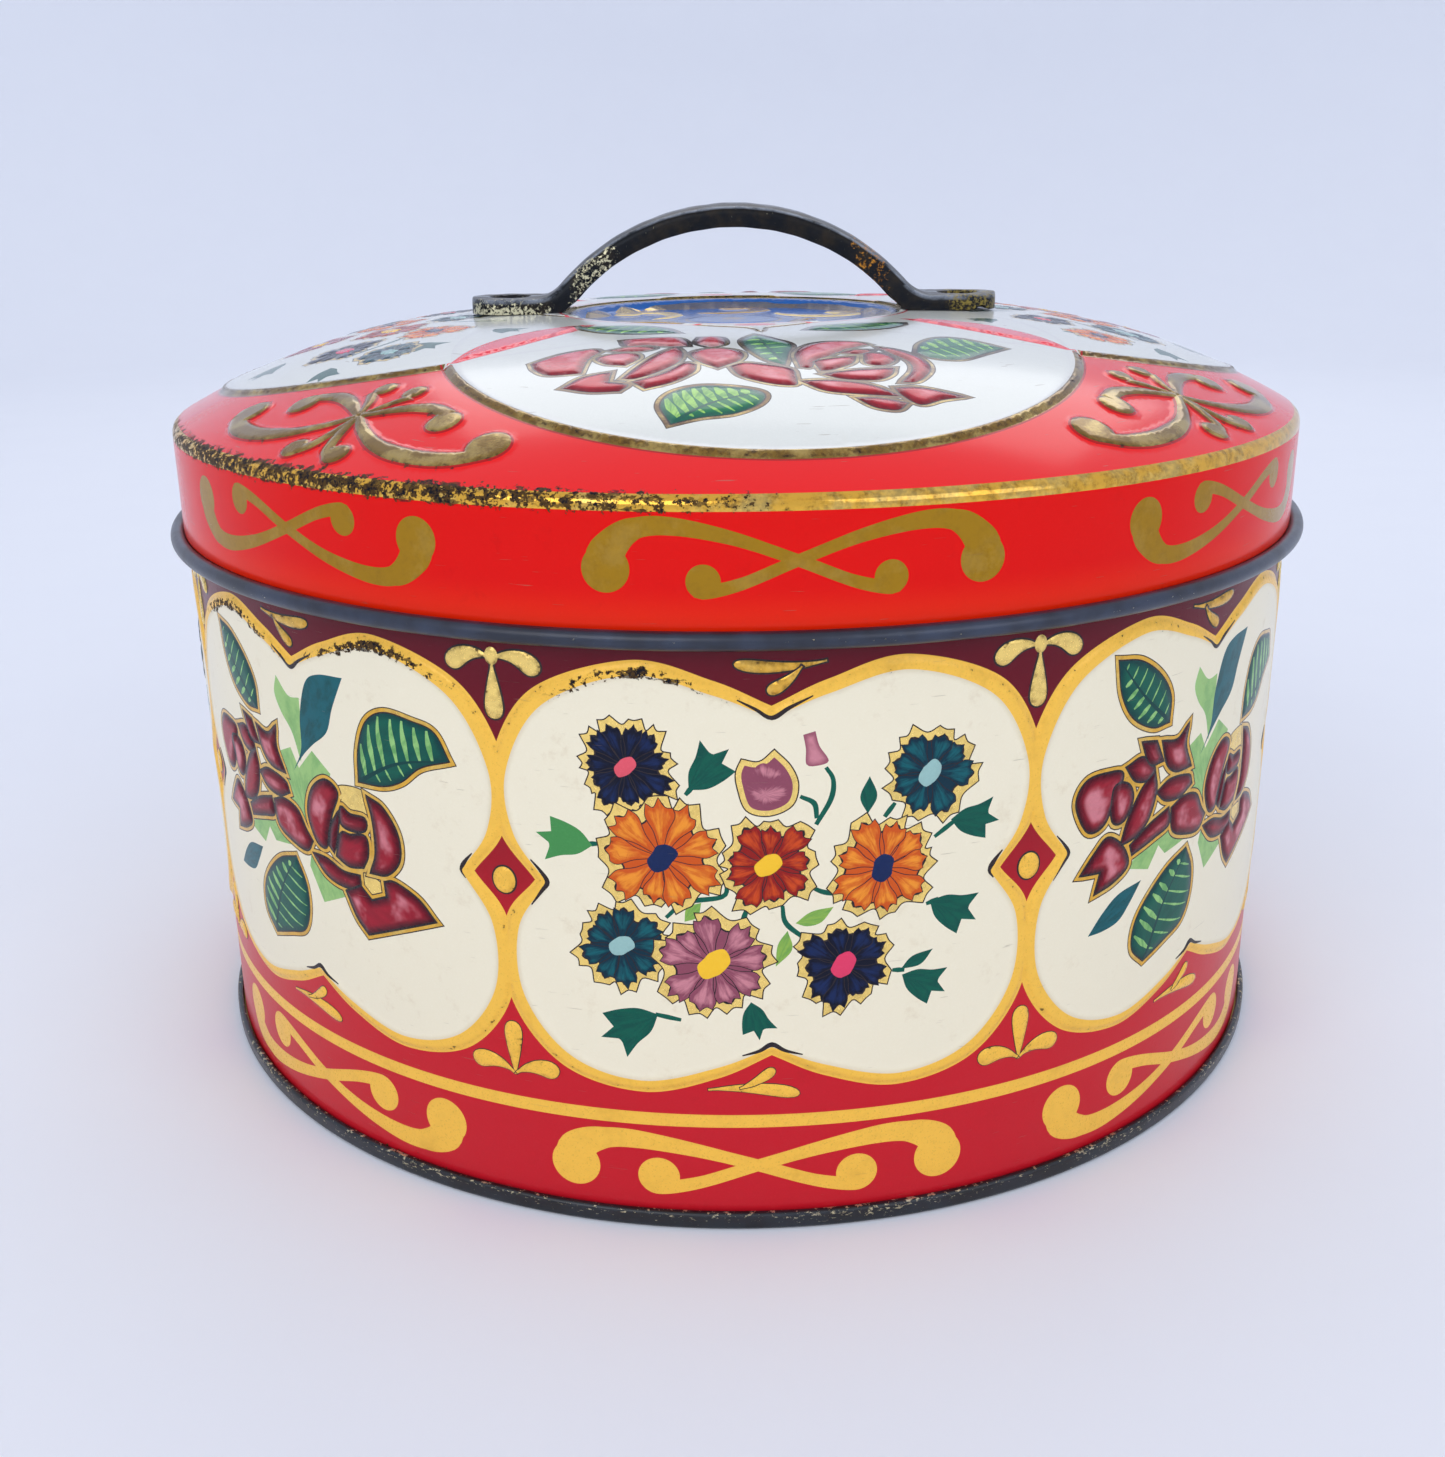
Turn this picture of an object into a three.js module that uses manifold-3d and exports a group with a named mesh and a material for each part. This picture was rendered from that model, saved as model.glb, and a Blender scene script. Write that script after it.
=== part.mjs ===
// A round lithographed tin with a slip lid: a rolled and seamed wall, a bottom seamed on to it,
// a domed lid with a rolled edge, and an arched channel handle riveted to the lid.
// Millimetres, +Z up. The origin is the centre of the base, on the surface the tin stands on.
import * as THREE from "three";
import { mergeVertices } from "three/addons/utils/BufferGeometryUtils.js";
import Module from "manifold-3d";

const wasm = await Module();
wasm.setup();

// Driving dimensions
const sheet = 0.35; // tinplate of the wall, the bottom and the lid
const gap = 0.3; // clearance kept between neighbouring pieces
const roundSteps = 64; // facets round the tin

const wallRadius = 106.5; // outside of the wall
const wallTop = 118.7; // top of the curl at the wall's mouth
const mouthCurl = 1.1; // radius of that curl, which turns inwards
const flangeReach = 107.25; // the wall's lower edge turns out to here, inside the bottom seam
const lockSeam = { width: 5, depth: 0.8, from: 6.5, to: 115 }; // folded side seam inside the wall

const rimRadius = 107.9; // outside of the bottom seam
const rimHeight = 3;
const hookDrop = 1.1; // how far the seam's edge turns down behind the rim
const panelHeight = 4.6; // the bottom panel stands clear of the table
const panelStep = { radius: 84, rise: 0.9 }; // stiffening step pressed into the panel

const skirtRadius = 107.45; // outside of the lid's skirt
const skirtTop = 117.7;
const edgeCurl = 1.45; // radius of the rolled edge below the skirt
const edgeHeight = 99; // height of that roll's centre
const shoulderRadius = 106.3;
const shoulderHeight = 119.6;
const crestRadius = 33;
const crestHeight = 135.6;
const domePower = 2.5; // how sharply the dome turns down towards the shoulder
const recessRadius = 31;
const recessHeight = 133.9;

const handleHalfLength = 51;
const footTop = 138.9;
const archTop = 155.9;
const archRadius = 46;
const filletRadius = 7; // between a foot and the arch
const channelDepth = 4.4; // height of the channel's side walls at the grip
const channelSheet = 0.7;
const gripHalfWidth = 6;
const footHalfWidth = 8.5;
const flareFrom = 24; // the strap widens between here and flareTo
const flareTo = 40;
const tipRadius = 6;

const rivetPlace = 44; // distance of each rivet from the tin's axis
const rivetShank = 1.35;
const rivetHead = { radius: 2.7, height: 1 };
const seatRadius = 4.2; // round seat pressed down into each foot
const seatBore = 3.4;

const paint = {
  wall: { color: 0xc22a34, roughness: 0.32, metalness: 0.15 },
  bottom: { color: 0x1f2024, roughness: 0.42, metalness: 0.5 },
  lid: { color: 0xdc1410, roughness: 0.28, metalness: 0.15 },
  handle: { color: 0x3c3a36, roughness: 0.45, metalness: 0.7 },
  rivet: { color: 0x8d8878, roughness: 0.4, metalness: 0.85 },
};

// Points on an arc about (r, z), for profiles drawn in the plane of the axis; angles in degrees.
function arc(r, z, radius, from, to, steps) {
  const points = [];
  for (let i = 0; i <= steps; i++) {
    const a = THREE.MathUtils.degToRad(from + ((to - from) * i) / steps);
    points.push([r + radius * Math.cos(a), z + radius * Math.sin(a)]);
  }
  return points;
}

// Turns a closed profile of [radius, height] pairs about the +Z axis.
function revolve(profile, steps = roundSteps) {
  const points = profile.map(([r, z]) => new THREE.Vector2(r, z));
  return new THREE.LatheGeometry(points, steps).rotateX(Math.PI / 2);
}

// A closed geometry as a solid that can be joined and cut.
function solid(geometry) {
  const bare = geometry.clone();
  bare.deleteAttribute("normal");
  bare.deleteAttribute("uv");
  const merged = mergeVertices(bare, 1e-4);
  return new wasm.Manifold(
    new wasm.Mesh({
      numProp: 3,
      vertProperties: merged.attributes.position.array,
      triVerts: new Uint32Array(merged.index.array),
    }),
  );
}

// A joined or cut solid as a geometry again.
function geometryOf(made) {
  const { vertProperties, triVerts } = made.getMesh();
  const geometry = new THREE.BufferGeometry();
  geometry.setAttribute("position", new THREE.BufferAttribute(new Float32Array(vertProperties), 3));
  geometry.setIndex(new THREE.BufferAttribute(new Uint32Array(triVerts), 1));
  geometry.computeVertexNormals();
  return geometry;
}

// An upright round bar centred at (x, 0), between two heights.
function bar(x, radius, low, high) {
  const cylinder = new THREE.CylinderGeometry(radius, radius, high - low, 24);
  return solid(cylinder.rotateX(Math.PI / 2).translate(x, 0, (low + high) / 2));
}

const group = new THREE.Group();

function place(name, geometry, look) {
  const mesh = new THREE.Mesh(geometry, new THREE.MeshStandardMaterial(look));
  mesh.name = name;
  group.add(mesh);
}

// The wall: one sheet rolled round and locked in a folded seam at the back (+Y). Its mouth curls
// inwards, and its lower edge turns out into the bottom seam.
function wallGeometry() {
  const inside = wallRadius - sheet;
  const curlCentre = [wallRadius - mouthCurl, wallTop - mouthCurl];
  const flangeLow = sheet + gap;
  const closed = [
    [inside, flangeLow],
    [flangeReach, flangeLow],
    [flangeReach, flangeLow + sheet],
    [wallRadius, flangeLow + sheet],
    ...arc(...curlCentre, mouthCurl, 0, 225, 5),
    ...arc(...curlCentre, mouthCurl - sheet, 225, 0, 5),
    [inside, flangeLow],
  ];
  const tube = solid(revolve(closed));
  const { width, depth, from, to } = lockSeam;
  const fold = new THREE.BoxGeometry(width, depth, to - from);
  fold.translate(0, inside - depth / 2 + 0.05, (from + to) / 2); // sunk a little into the wall
  return geometryOf(tube.add(solid(fold)));
}

// The bottom: a panel held up off the table, with an edge that goes down inside the wall, out under
// it and up round its flange, and turns in and down behind the rim.
function bottomGeometry() {
  const chuck = wallRadius - sheet - gap; // the edge that stands inside the wall
  const hookRadius = wallRadius + gap;
  const { radius, rise } = panelStep;
  const under = panelHeight - sheet;
  return revolve([
    [0, under + rise],
    [radius - 1, under + rise],
    [radius, under],
    [chuck - 1, under],
    [chuck - sheet, under - 0.7],
    [chuck - sheet, 0.4],
    [chuck, 0],
    [rimRadius - 0.5, 0],
    [rimRadius, 0.5],
    [rimRadius, rimHeight - 0.5],
    [rimRadius - 0.5, rimHeight],
    [hookRadius, rimHeight],
    [hookRadius, rimHeight - hookDrop],
    [hookRadius + sheet, rimHeight - hookDrop],
    [hookRadius + sheet, rimHeight - sheet],
    [rimRadius - sheet, rimHeight - sheet],
    [rimRadius - sheet, sheet],
    [chuck, sheet],
    [chuck, under - 0.4],
    [chuck - 0.8, panelHeight],
    [radius + 0.2, panelHeight],
    [radius - 0.8, panelHeight + rise],
    [0, panelHeight + rise],
  ]);
}

// Height of the dome's outer face at a radius between the crest and the shoulder.
function domeHeight(r) {
  const t = (r - crestRadius) / (shoulderRadius - crestRadius);
  return shoulderHeight + (crestHeight - shoulderHeight) * (1 - t ** domePower);
}

// The lid: a flat recess in the middle, a dome, a skirt, and an edge rolled outwards.
function lidGeometry() {
  const domeSteps = 9;
  const dome = [];
  for (let i = 0; i <= domeSteps; i++) {
    const r = THREE.MathUtils.lerp(crestRadius, shoulderRadius, i / domeSteps);
    dome.push([r, domeHeight(r)]);
  }
  const skirtInside = skirtRadius - sheet;
  const roll = [skirtInside + edgeCurl, edgeHeight];
  const outside = [
    [0, recessHeight],
    [recessRadius, recessHeight],
    ...dome,
    [skirtRadius, skirtTop],
    ...arc(...roll, edgeCurl - sheet, 180, 480, 7),
  ];
  const inside = [
    ...arc(...roll, edgeCurl, 480, 180, 9),
    [skirtInside, skirtTop - 0.1],
    ...dome.reverse().map(([r, z]) => [r - 0.15, z - sheet - 0.03]),
    [recessRadius + 0.3, recessHeight - sheet],
    [0, recessHeight - sheet],
  ];
  const shell = solid(revolve([...outside, ...inside].reverse()));
  const bore = rivetShank + gap;
  return geometryOf(
    shell
      .subtract(bar(rivetPlace, bore, recessHeight - 4, crestHeight + 4))
      .subtract(bar(-rivetPlace, bore, recessHeight - 4, crestHeight + 4)),
  );
}

// Side outline of the strap's outer face, lowered by an inset: foot, fillet, arch, fillet, foot.
function strapOutline(inset, reach, floor, underside) {
  const archCentre = archTop - archRadius;
  const turn = Math.acos((footTop + filletRadius - archCentre) / (archRadius + filletRadius));
  const footEnd = (archRadius + filletRadius) * Math.sin(turn);
  const fillet = filletRadius + inset;
  const filletCentre = footTop + filletRadius;
  const down = -Math.PI / 2;
  const shape = new THREE.Shape();
  shape.moveTo(-reach, floor);
  shape.lineTo(-reach, footTop - inset);
  shape.absarc(-footEnd, filletCentre, fillet, down, down + turn, false);
  shape.absarc(0, archCentre, archRadius - inset, Math.PI / 2 + turn, Math.PI / 2 - turn, true);
  shape.absarc(footEnd, filletCentre, fillet, down - turn, down, false);
  shape.lineTo(reach, footTop - inset);
  shape.lineTo(reach, floor);
  if (underside) {
    const radius = archRadius - channelDepth;
    const meet = Math.asin((floor - archCentre) / radius);
    shape.absarc(0, archCentre, radius, meet, Math.PI - meet, false);
  }
  return shape;
}

// Plan of the strap, drawn in by an inset: narrow at the grip, wider at the feet, round at the tips.
function strapPlan(inset) {
  const grip = gripHalfWidth - inset;
  const foot = footHalfWidth - inset;
  const tip = handleHalfLength - inset;
  const round = tipRadius - inset;
  const middle = (flareFrom + flareTo) / 2;
  const shape = new THREE.Shape();
  shape.moveTo(-flareFrom, -grip);
  shape.lineTo(flareFrom, -grip);
  shape.bezierCurveTo(middle, -grip, middle, -foot, flareTo, -foot);
  shape.lineTo(tip - round, -foot);
  shape.absarc(tip - round, -foot + round, round, -Math.PI / 2, 0, false);
  shape.absarc(tip - round, foot - round, round, 0, Math.PI / 2, false);
  shape.lineTo(flareTo, foot);
  shape.bezierCurveTo(middle, foot, middle, grip, flareFrom, grip);
  shape.lineTo(-flareFrom, grip);
  shape.bezierCurveTo(-middle, grip, -middle, foot, -flareTo, foot);
  shape.lineTo(-tip + round, foot);
  shape.absarc(-tip + round, foot - round, round, Math.PI / 2, Math.PI, false);
  shape.absarc(-tip + round, -foot + round, round, Math.PI, 1.5 * Math.PI, false);
  shape.lineTo(-flareTo, -foot);
  shape.bezierCurveTo(-middle, -foot, -middle, -grip, -flareFrom, -grip);
  return shape;
}

// What lies inside both a side outline and a plan.
function strapBlock(outline, plan) {
  const across = 30;
  const side = new THREE.ExtrudeGeometry(outline, {
    depth: across,
    bevelEnabled: false,
    curveSegments: 20,
  });
  side.rotateX(Math.PI / 2).translate(0, across / 2, 0);
  const low = 90;
  const top = new THREE.ExtrudeGeometry(plan, {
    depth: archTop + 5 - low,
    bevelEnabled: false,
    curveSegments: 6,
  });
  top.translate(0, 0, low);
  return solid(side).intersect(solid(top));
}

// The handle: a strap pressed into a channel that is open underneath, with a round seat pressed
// down on to the lid in each foot for the rivet.
function handleGeometry() {
  const floor = crestHeight + gap;
  const reach = handleHalfLength + 2;
  const outer = strapBlock(strapOutline(0, reach, floor, true), strapPlan(0));
  const core = strapBlock(strapOutline(channelSheet, reach, 95, false), strapPlan(channelSheet));
  let strap = outer.subtract(core);
  for (const x of [-rivetPlace, rivetPlace]) {
    strap = strap
      .add(bar(x, seatRadius, floor, footTop - 0.1))
      .subtract(bar(x, seatBore, floor + channelSheet, footTop + 1))
      .subtract(bar(x, rivetShank + gap, floor - 1, footTop + 1));
  }
  return geometryOf(strap);
}

// A rivet: a low domed head in the seat, a shank through foot and lid, and a tail spread underneath.
function rivetGeometry() {
  const headLow = crestHeight + gap + channelSheet + gap;
  const tailHigh = domeHeight(rivetPlace + rivetHead.radius) - sheet - 2 * gap;
  const { radius, height } = rivetHead;
  return revolve(
    [
      [0, tailHigh - 0.8],
      [radius - 0.6, tailHigh - 0.8],
      [radius - 0.2, tailHigh - 0.4],
      [radius - 0.2, tailHigh],
      [rivetShank, tailHigh],
      [rivetShank, headLow],
      [radius, headLow],
      [radius, headLow + 0.3],
      [radius * 0.6, headLow + height * 0.85],
      [0, headLow + height],
    ],
    20,
  );
}

place("body_wall", wallGeometry(), paint.wall);
place("bottom_plate", bottomGeometry(), paint.bottom);
place("lid_shell", lidGeometry(), paint.lid);
place("handle", handleGeometry(), paint.handle);
place("handle_rivet_left", rivetGeometry().translate(-rivetPlace, 0, 0), paint.rivet);
place("handle_rivet_right", rivetGeometry().translate(rivetPlace, 0, 0), paint.rivet);

export default group;
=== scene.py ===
import math
import random

import bmesh
import bpy
import numpy as np
from mathutils import Matrix, Vector
from mathutils.geometry import delaunay_2d_cdt


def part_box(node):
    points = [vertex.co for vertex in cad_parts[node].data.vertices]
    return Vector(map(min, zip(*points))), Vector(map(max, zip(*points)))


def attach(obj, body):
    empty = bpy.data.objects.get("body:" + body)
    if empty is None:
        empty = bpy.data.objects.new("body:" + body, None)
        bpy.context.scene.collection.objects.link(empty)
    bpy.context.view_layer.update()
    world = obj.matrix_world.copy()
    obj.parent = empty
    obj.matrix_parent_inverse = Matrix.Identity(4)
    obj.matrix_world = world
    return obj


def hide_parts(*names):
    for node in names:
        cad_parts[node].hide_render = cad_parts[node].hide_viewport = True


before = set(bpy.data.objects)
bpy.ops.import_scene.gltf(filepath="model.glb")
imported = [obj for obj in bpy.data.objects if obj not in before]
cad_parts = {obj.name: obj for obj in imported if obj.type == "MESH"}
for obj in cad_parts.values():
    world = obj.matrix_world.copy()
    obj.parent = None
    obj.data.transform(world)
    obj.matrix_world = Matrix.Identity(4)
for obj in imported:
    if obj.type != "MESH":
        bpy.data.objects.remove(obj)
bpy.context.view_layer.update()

mm = 0.001

# The main sizes of the tin, in millimetres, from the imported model.
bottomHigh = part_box("bottom_plate")[1]
wallLow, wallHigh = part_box("body_wall")
lidLow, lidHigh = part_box("lid_shell")
handleLow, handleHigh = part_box("handle")
rivetLow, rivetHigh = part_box("handle_rivet_right")
rimRadius = bottomHigh.x / mm
wallRadius = rimRadius - 1.4
wallTop = wallHigh.z / mm
edgeRadius = lidHigh.x / mm
edgeLow = lidLow.z / mm
crestHeight = lidHigh.z / mm
footTop = handleLow.z / mm + 3.0
archTop = handleHigh.z / mm
handleReach = handleHigh.x / mm
print("frame: wall", round(wallRadius, 2), "top", round(wallTop, 2), "edge", round(edgeRadius, 2),
      "crest", round(crestHeight, 2), "foot", round(footTop, 2), "arch", round(archTop, 2))


def srgb(red, green, blue):
    # a colour as a painter gives it, 0 to 255, turned into linear light
    def part(value):
        share = value / 255
        return share / 12.92 if share <= 0.04045 else ((share + 0.055) / 1.055) ** 2.4
    return (part(red), part(green), part(blue), 1.0)


inks = {
    "cream": srgb(242, 232, 203),
    "creamShade": srgb(226, 212, 180),
    "lidWhite": srgb(228, 230, 221),
    "lidShade": srgb(222, 222, 216),
    "bandYellow": srgb(252, 196, 76),
    "gold": srgb(232, 178, 66),
    "goldPale": srgb(250, 214, 120),
    "lidGold": srgb(138, 106, 40),
    "skirtGold": srgb(164, 122, 22),
    "lacquer": srgb(206, 168, 88),
    "red": srgb(200, 24, 38),
    "maroon": srgb(96, 6, 26),
    "lidRed": srgb(240, 6, 6),
    "lidRedDeep": srgb(176, 6, 8),
    "skirtGlow": srgb(240, 40, 8),
    "skirtRed": srgb(226, 10, 4),
    "lens": srgb(240, 84, 100),
    "line": srgb(44, 38, 42),
    "crimson": srgb(158, 20, 40),
    "crimsonDark": srgb(62, 6, 22),
    "lidRose": srgb(206, 8, 38),
    "lidRoseDark": srgb(112, 6, 26),
    "navy": srgb(18, 38, 82),
    "navyDark": srgb(7, 12, 34),
    "teal": srgb(12, 92, 100),
    "tealDark": srgb(5, 46, 62),
    "tealPale": srgb(152, 190, 184),
    "orange": srgb(242, 150, 46),
    "orangeDark": srgb(208, 86, 24),
    "ember": srgb(206, 74, 26),
    "emberDark": srgb(146, 26, 22),
    "mauve": srgb(204, 132, 142),
    "mauveDark": srgb(142, 74, 92),
    "yellow": srgb(250, 196, 48),
    "pink": srgb(226, 62, 100),
    "salmon": srgb(226, 88, 102),
    "bronze": srgb(98, 70, 36),
    "lidLeaf": srgb(12, 122, 72),
    "lidRib": srgb(160, 214, 96),
    "leaf": srgb(8, 90, 72),
    "leafDark": srgb(4, 62, 60),
    "leafMid": srgb(70, 142, 76),
    "leafLight": srgb(142, 180, 78),
    "leafPale": srgb(156, 196, 118),
    "rib": srgb(150, 200, 120),
    "blue": srgb(18, 104, 190),
    "blueDark": srgb(10, 70, 148),
}


class Wire:
    # a node's output that can be used in sums
    def __init__(self, paint, socket):
        self.paint = paint
        self.socket = socket

    def math(self, operation, first, second):
        return self.paint.node("ShaderNodeMath", {"operation": operation}, {0: first, 1: second})

    def __add__(self, other):
        return self.math("ADD", self, other)

    __radd__ = __add__

    def __sub__(self, other):
        return self.math("SUBTRACT", self, other)

    def __rsub__(self, other):
        return self.math("SUBTRACT", other, self)

    def __mul__(self, other):
        return self.math("MULTIPLY", self, other)

    __rmul__ = __mul__


class Paint:
    # one material and the ways of adding nodes to it
    def __init__(self, name):
        self.material = bpy.data.materials.new(name)
        self.material.use_nodes = True
        self.tree = self.material.node_tree
        self.tree.nodes.clear()

    def node(self, kind, settings, sockets, output=0):
        made = self.tree.nodes.new(kind)
        for key, value in settings.items():
            setattr(made, key, value)
        for key, value in sockets.items():
            if isinstance(value, Wire):
                self.tree.links.new(value.socket, made.inputs[key])
            else:
                made.inputs[key].default_value = value
        return Wire(self, made.outputs[output]) if made.outputs else None

    def mix(self, share, first, second, blend="MIX"):
        settings = {"data_type": "RGBA", "blend_type": blend, "clamp_factor": True}
        return self.node("ShaderNodeMix", settings, {0: share, 6: first, 7: second}, 2)

    def between(self, value, low, high, start=0.0, end=1.0):
        # a smooth step from start to end as value goes from low to high
        settings = {"interpolation_type": "SMOOTHSTEP", "clamp": True}
        sockets = {0: value, 1: low, 2: high, 3: start, 4: end}
        return self.node("ShaderNodeMapRange", settings, sockets)

    def noise(self, vector, scale, detail=2.0, rough=0.5, stretch=(1, 1, 1), shift=(0, 0, 0)):
        laid = self.node("ShaderNodeMapping", {}, {0: vector, 1: shift, 3: stretch})
        sockets = {"Vector": laid, "Scale": scale, "Detail": detail, "Roughness": rough}
        return self.node("ShaderNodeTexNoise", {"noise_dimensions": "3D"}, sockets)

    def read(self, name, output="Fac"):
        return self.node("ShaderNodeAttribute", {"attribute_name": name}, {}, output)

    def place(self):
        # position on the tin in millimetres
        held = self.node("ShaderNodeTexCoord", {}, {}, "Object")
        return self.node("ShaderNodeVectorMath", {"operation": "SCALE"}, {0: held, "Scale": 1000.0})

    def channel(self, colour, index):
        return self.node("ShaderNodeSeparateColor", {}, {0: colour}, index)

    def finish(self, sockets, bump=None, depth=0.05):
        if bump is not None:
            bumps = {"Height": bump, "Strength": 1.0, "Distance": depth * mm}
            sockets["Normal"] = self.node("ShaderNodeBump", {}, bumps)
        shader = self.node("ShaderNodeBsdfPrincipled", {}, sockets)
        self.node("ShaderNodeOutputMaterial", {}, {0: shader})
        return self.material


def curve(points, step=0.6, closed=True):
    # a smooth line through the points; a point with a third value is a sharp corner
    count = len(points)
    spots = [np.array(p[:2], float) for p in points]
    sharp = [len(p) > 2 for p in points]
    if not closed:
        sharp[0] = sharp[-1] = True
    line = []
    for i in range(count if closed else count - 1):
        j = (i + 1) % count
        here, there = spots[i], spots[j]
        pull = there - here if sharp[i] else (there - spots[i - 1]) / 2
        push = there - here if sharp[j] else (spots[(j + 1) % count] - here) / 2
        pieces = max(2, math.ceil(np.linalg.norm(there - here) / step))
        for k in range(pieces):
            t = k / pieces
            line.append((2 * t**3 - 3 * t**2 + 1) * here + (t**3 - 2 * t**2 + t) * pull
                        + (3 * t**2 - 2 * t**3) * there + (t**3 - t**2) * push)
    if not closed:
        line.append(spots[-1])
    return np.array(line)


def eased(value):
    # a smooth step from 0 to 1
    share = np.clip(value, 0, 1)
    return share**2 * (3 - 2 * share)


def oval(x, y, wide, high=None, step=0.5):
    high = wide if high is None else high
    count = max(12, math.ceil(2 * math.pi * max(wide, high) / step))
    angle = np.arange(count) * 2 * math.pi / count
    flat = np.stack([wide * np.cos(angle), high * np.sin(angle)], 1)
    return flat + (x, y)


def shifted(outline, at=(0, 0), turn=0.0):
    # turns an outline about the origin, then moves it
    c, s = math.cos(math.radians(turn)), math.sin(math.radians(turn))
    x, y = outline[:, 0], outline[:, 1]
    return np.stack([at[0] + x * c - y * s, at[1] + x * s + y * c], 1)


def area(outline):
    x, y = outline[:, 0], outline[:, 1]
    return 0.5 * float(np.sum(x * np.roll(y, -1) - np.roll(x, -1) * y))


def grow(outline, distance):
    # a closed outline moved outwards all round, with its corners kept
    line = outline if area(outline) > 0 else outline[::-1]
    ahead = np.roll(line, -1, axis=0) - line
    ahead /= np.linalg.norm(ahead, axis=1)[:, None] + 1e-9
    out = np.stack([ahead[:, 1], -ahead[:, 0]], 1)
    both = out + np.roll(out, 1, axis=0)
    both /= np.linalg.norm(both, axis=1)[:, None] + 1e-9
    lean = np.clip((both * out).sum(1), 0.55, 1.0)
    return line + both * (distance / lean)[:, None]


def ribbon(path, widths):
    # the outline of a line whose width changes evenly through the widths given
    along = np.gradient(path, axis=0)
    along /= np.linalg.norm(along, axis=1)[:, None] + 1e-9
    side = np.stack([-along[:, 1], along[:, 0]], 1)
    share = np.linspace(0, 1, len(path))
    half = np.interp(share, np.linspace(0, 1, len(widths)), widths)[:, None] / 2
    return np.vstack([path + side * half, (path - side * half)[::-1]])


def drop(base, tip, width, bend=0.0):
    # a teardrop from a fine point at its base to a round end, bent to one side
    base, tip = np.array(base, float), np.array(tip, float)
    reach = tip - base
    elbow = (base + tip) / 2 + bend * np.array([-reach[1], reach[0]])
    t = (1 - np.cos(np.linspace(0, math.pi, 15))) / 2
    path = np.outer((1 - t)**2, base) + np.outer(2 * t * (1 - t), elbow) + np.outer(t**2, tip)
    widths = width * np.maximum(0.12, 1.05 * t**0.85) * np.sqrt(np.maximum(0.0, 1 - t**6))
    along = np.gradient(path, axis=0)
    along /= np.linalg.norm(along, axis=1)[:, None] + 1e-9
    side = np.stack([-along[:, 1], along[:, 0]], 1)
    left = path + side * widths[:, None] / 2
    right = path - side * widths[:, None] / 2
    return np.vstack([left, right[:-1][::-1]])


def depthIn(points, outline):
    # how far inside the outline each point is, in millimetres; negative outside
    found = np.empty(len(points))
    here = outline
    ahead = np.roll(outline, -1, axis=0) - here
    square = (ahead**2).sum(1) + 1e-12
    for start in range(0, len(points), 3000):
        some = points[start:start + 3000]
        away = some[:, None] - here[None]
        share = np.clip((away * ahead).sum(2) / square, 0, 1)
        gap = np.sqrt(((away - share[..., None] * ahead)**2).sum(2)).min(1)
        under = (here[:, 1] > some[:, None, 1]) != (here[:, 1] + ahead[:, 1] > some[:, None, 1])
        rise = np.where(np.abs(ahead[:, 1]) < 1e-12, 1e-12, ahead[:, 1])
        cross = here[:, 0] + ahead[:, 0] * (some[:, None, 1] - here[:, 1]) / rise
        inside = (under & (some[:, None, 0] < cross)).sum(1) % 2 == 1
        found[start:start + 3000] = np.where(inside, gap, -gap)
    return found


class Sheet:
    # a flat piece of artwork: outlines laid one over another, and the relief pressed into it
    def __init__(self, edge):
        self.edge = edge if area(edge) > 0 else edge[::-1]
        self.shapes = []
        self.steps = []
        self.pillows = []

    def lay(self, outline, ink, shade=None, foil=0.0, lit=0.0, soft=0.0, streak=0.0, heart=None,
            fade=None):
        outline = outline if area(outline) > 0 else outline[::-1]
        self.shapes.append({"outline": outline, "ink": inks[ink], "shade": inks[shade or ink],
                            "foil": foil, "lit": lit, "soft": soft, "streak": streak,
                            "heart": heart, "fade": fade})

    def press(self, outline, rise, ramp):
        # raises what lies inside the outline; where two overlap, the higher one counts
        self.steps.append((outline, rise, ramp))

    def pillow(self, outline, rise, ramp):
        # swells what lies inside the outline, on top of what is raised already
        self.pillows.append((outline, rise, ramp))

    def heights(self, points, shifts):
        # the relief at the points moved by each shift in turn
        raised = np.zeros((len(shifts), len(points)))
        swollen = np.zeros((len(shifts), len(points)))
        reach = 2 * max(abs(x) + abs(y) for x, y in shifts) + 0.05
        for group, level in ((self.steps, raised), (self.pillows, swollen)):
            for outline, rise, ramp in group:
                low, high = outline.min(0) - reach, outline.max(0) + reach
                near = np.nonzero(((points > low) & (points < high)).all(1))[0]
                if not len(near):
                    continue
                depth = depthIn(points[near], outline)
                near, depth = near[depth > -reach], depth[depth > -reach]
                edge = depth < ramp + reach
                for k, shift in enumerate(shifts):
                    moved = depth.copy()
                    if shift != (0, 0):
                        moved[edge] = depthIn(points[near[edge]] + np.array(shift), outline)
                    if level is raised:
                        level[k, near] = np.maximum(level[k, near], rise * eased(moved / ramp))
                    else:
                        level[k, near] += rise * (1 - (1 - np.clip(moved / ramp, 0, 1))**2)
        return raised + swollen


weave = {
    "longestEdge": 2.5,      # straight edges longer than this are split
    "rowPitch": 0.866,       # rows of inner points, as a share of their spacing
    "jog": 0.12,             # how far a point may stray, as a share of the spacing
    "edgeRoom": 0.45,        # clear space along the sheet's edge, as a share of the spacing
    "backGrid": 6,           # spacing of the points behind the sheet
    "backStart": 4,
    "backRoom": 2.0,
    "stray": 0.001,          # a face whose middle is no further in than this lies outside the sheet
    "nudge": 0.12,           # how far apart the relief is measured to find its slope
    "steepest": 0.75,
}


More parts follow.
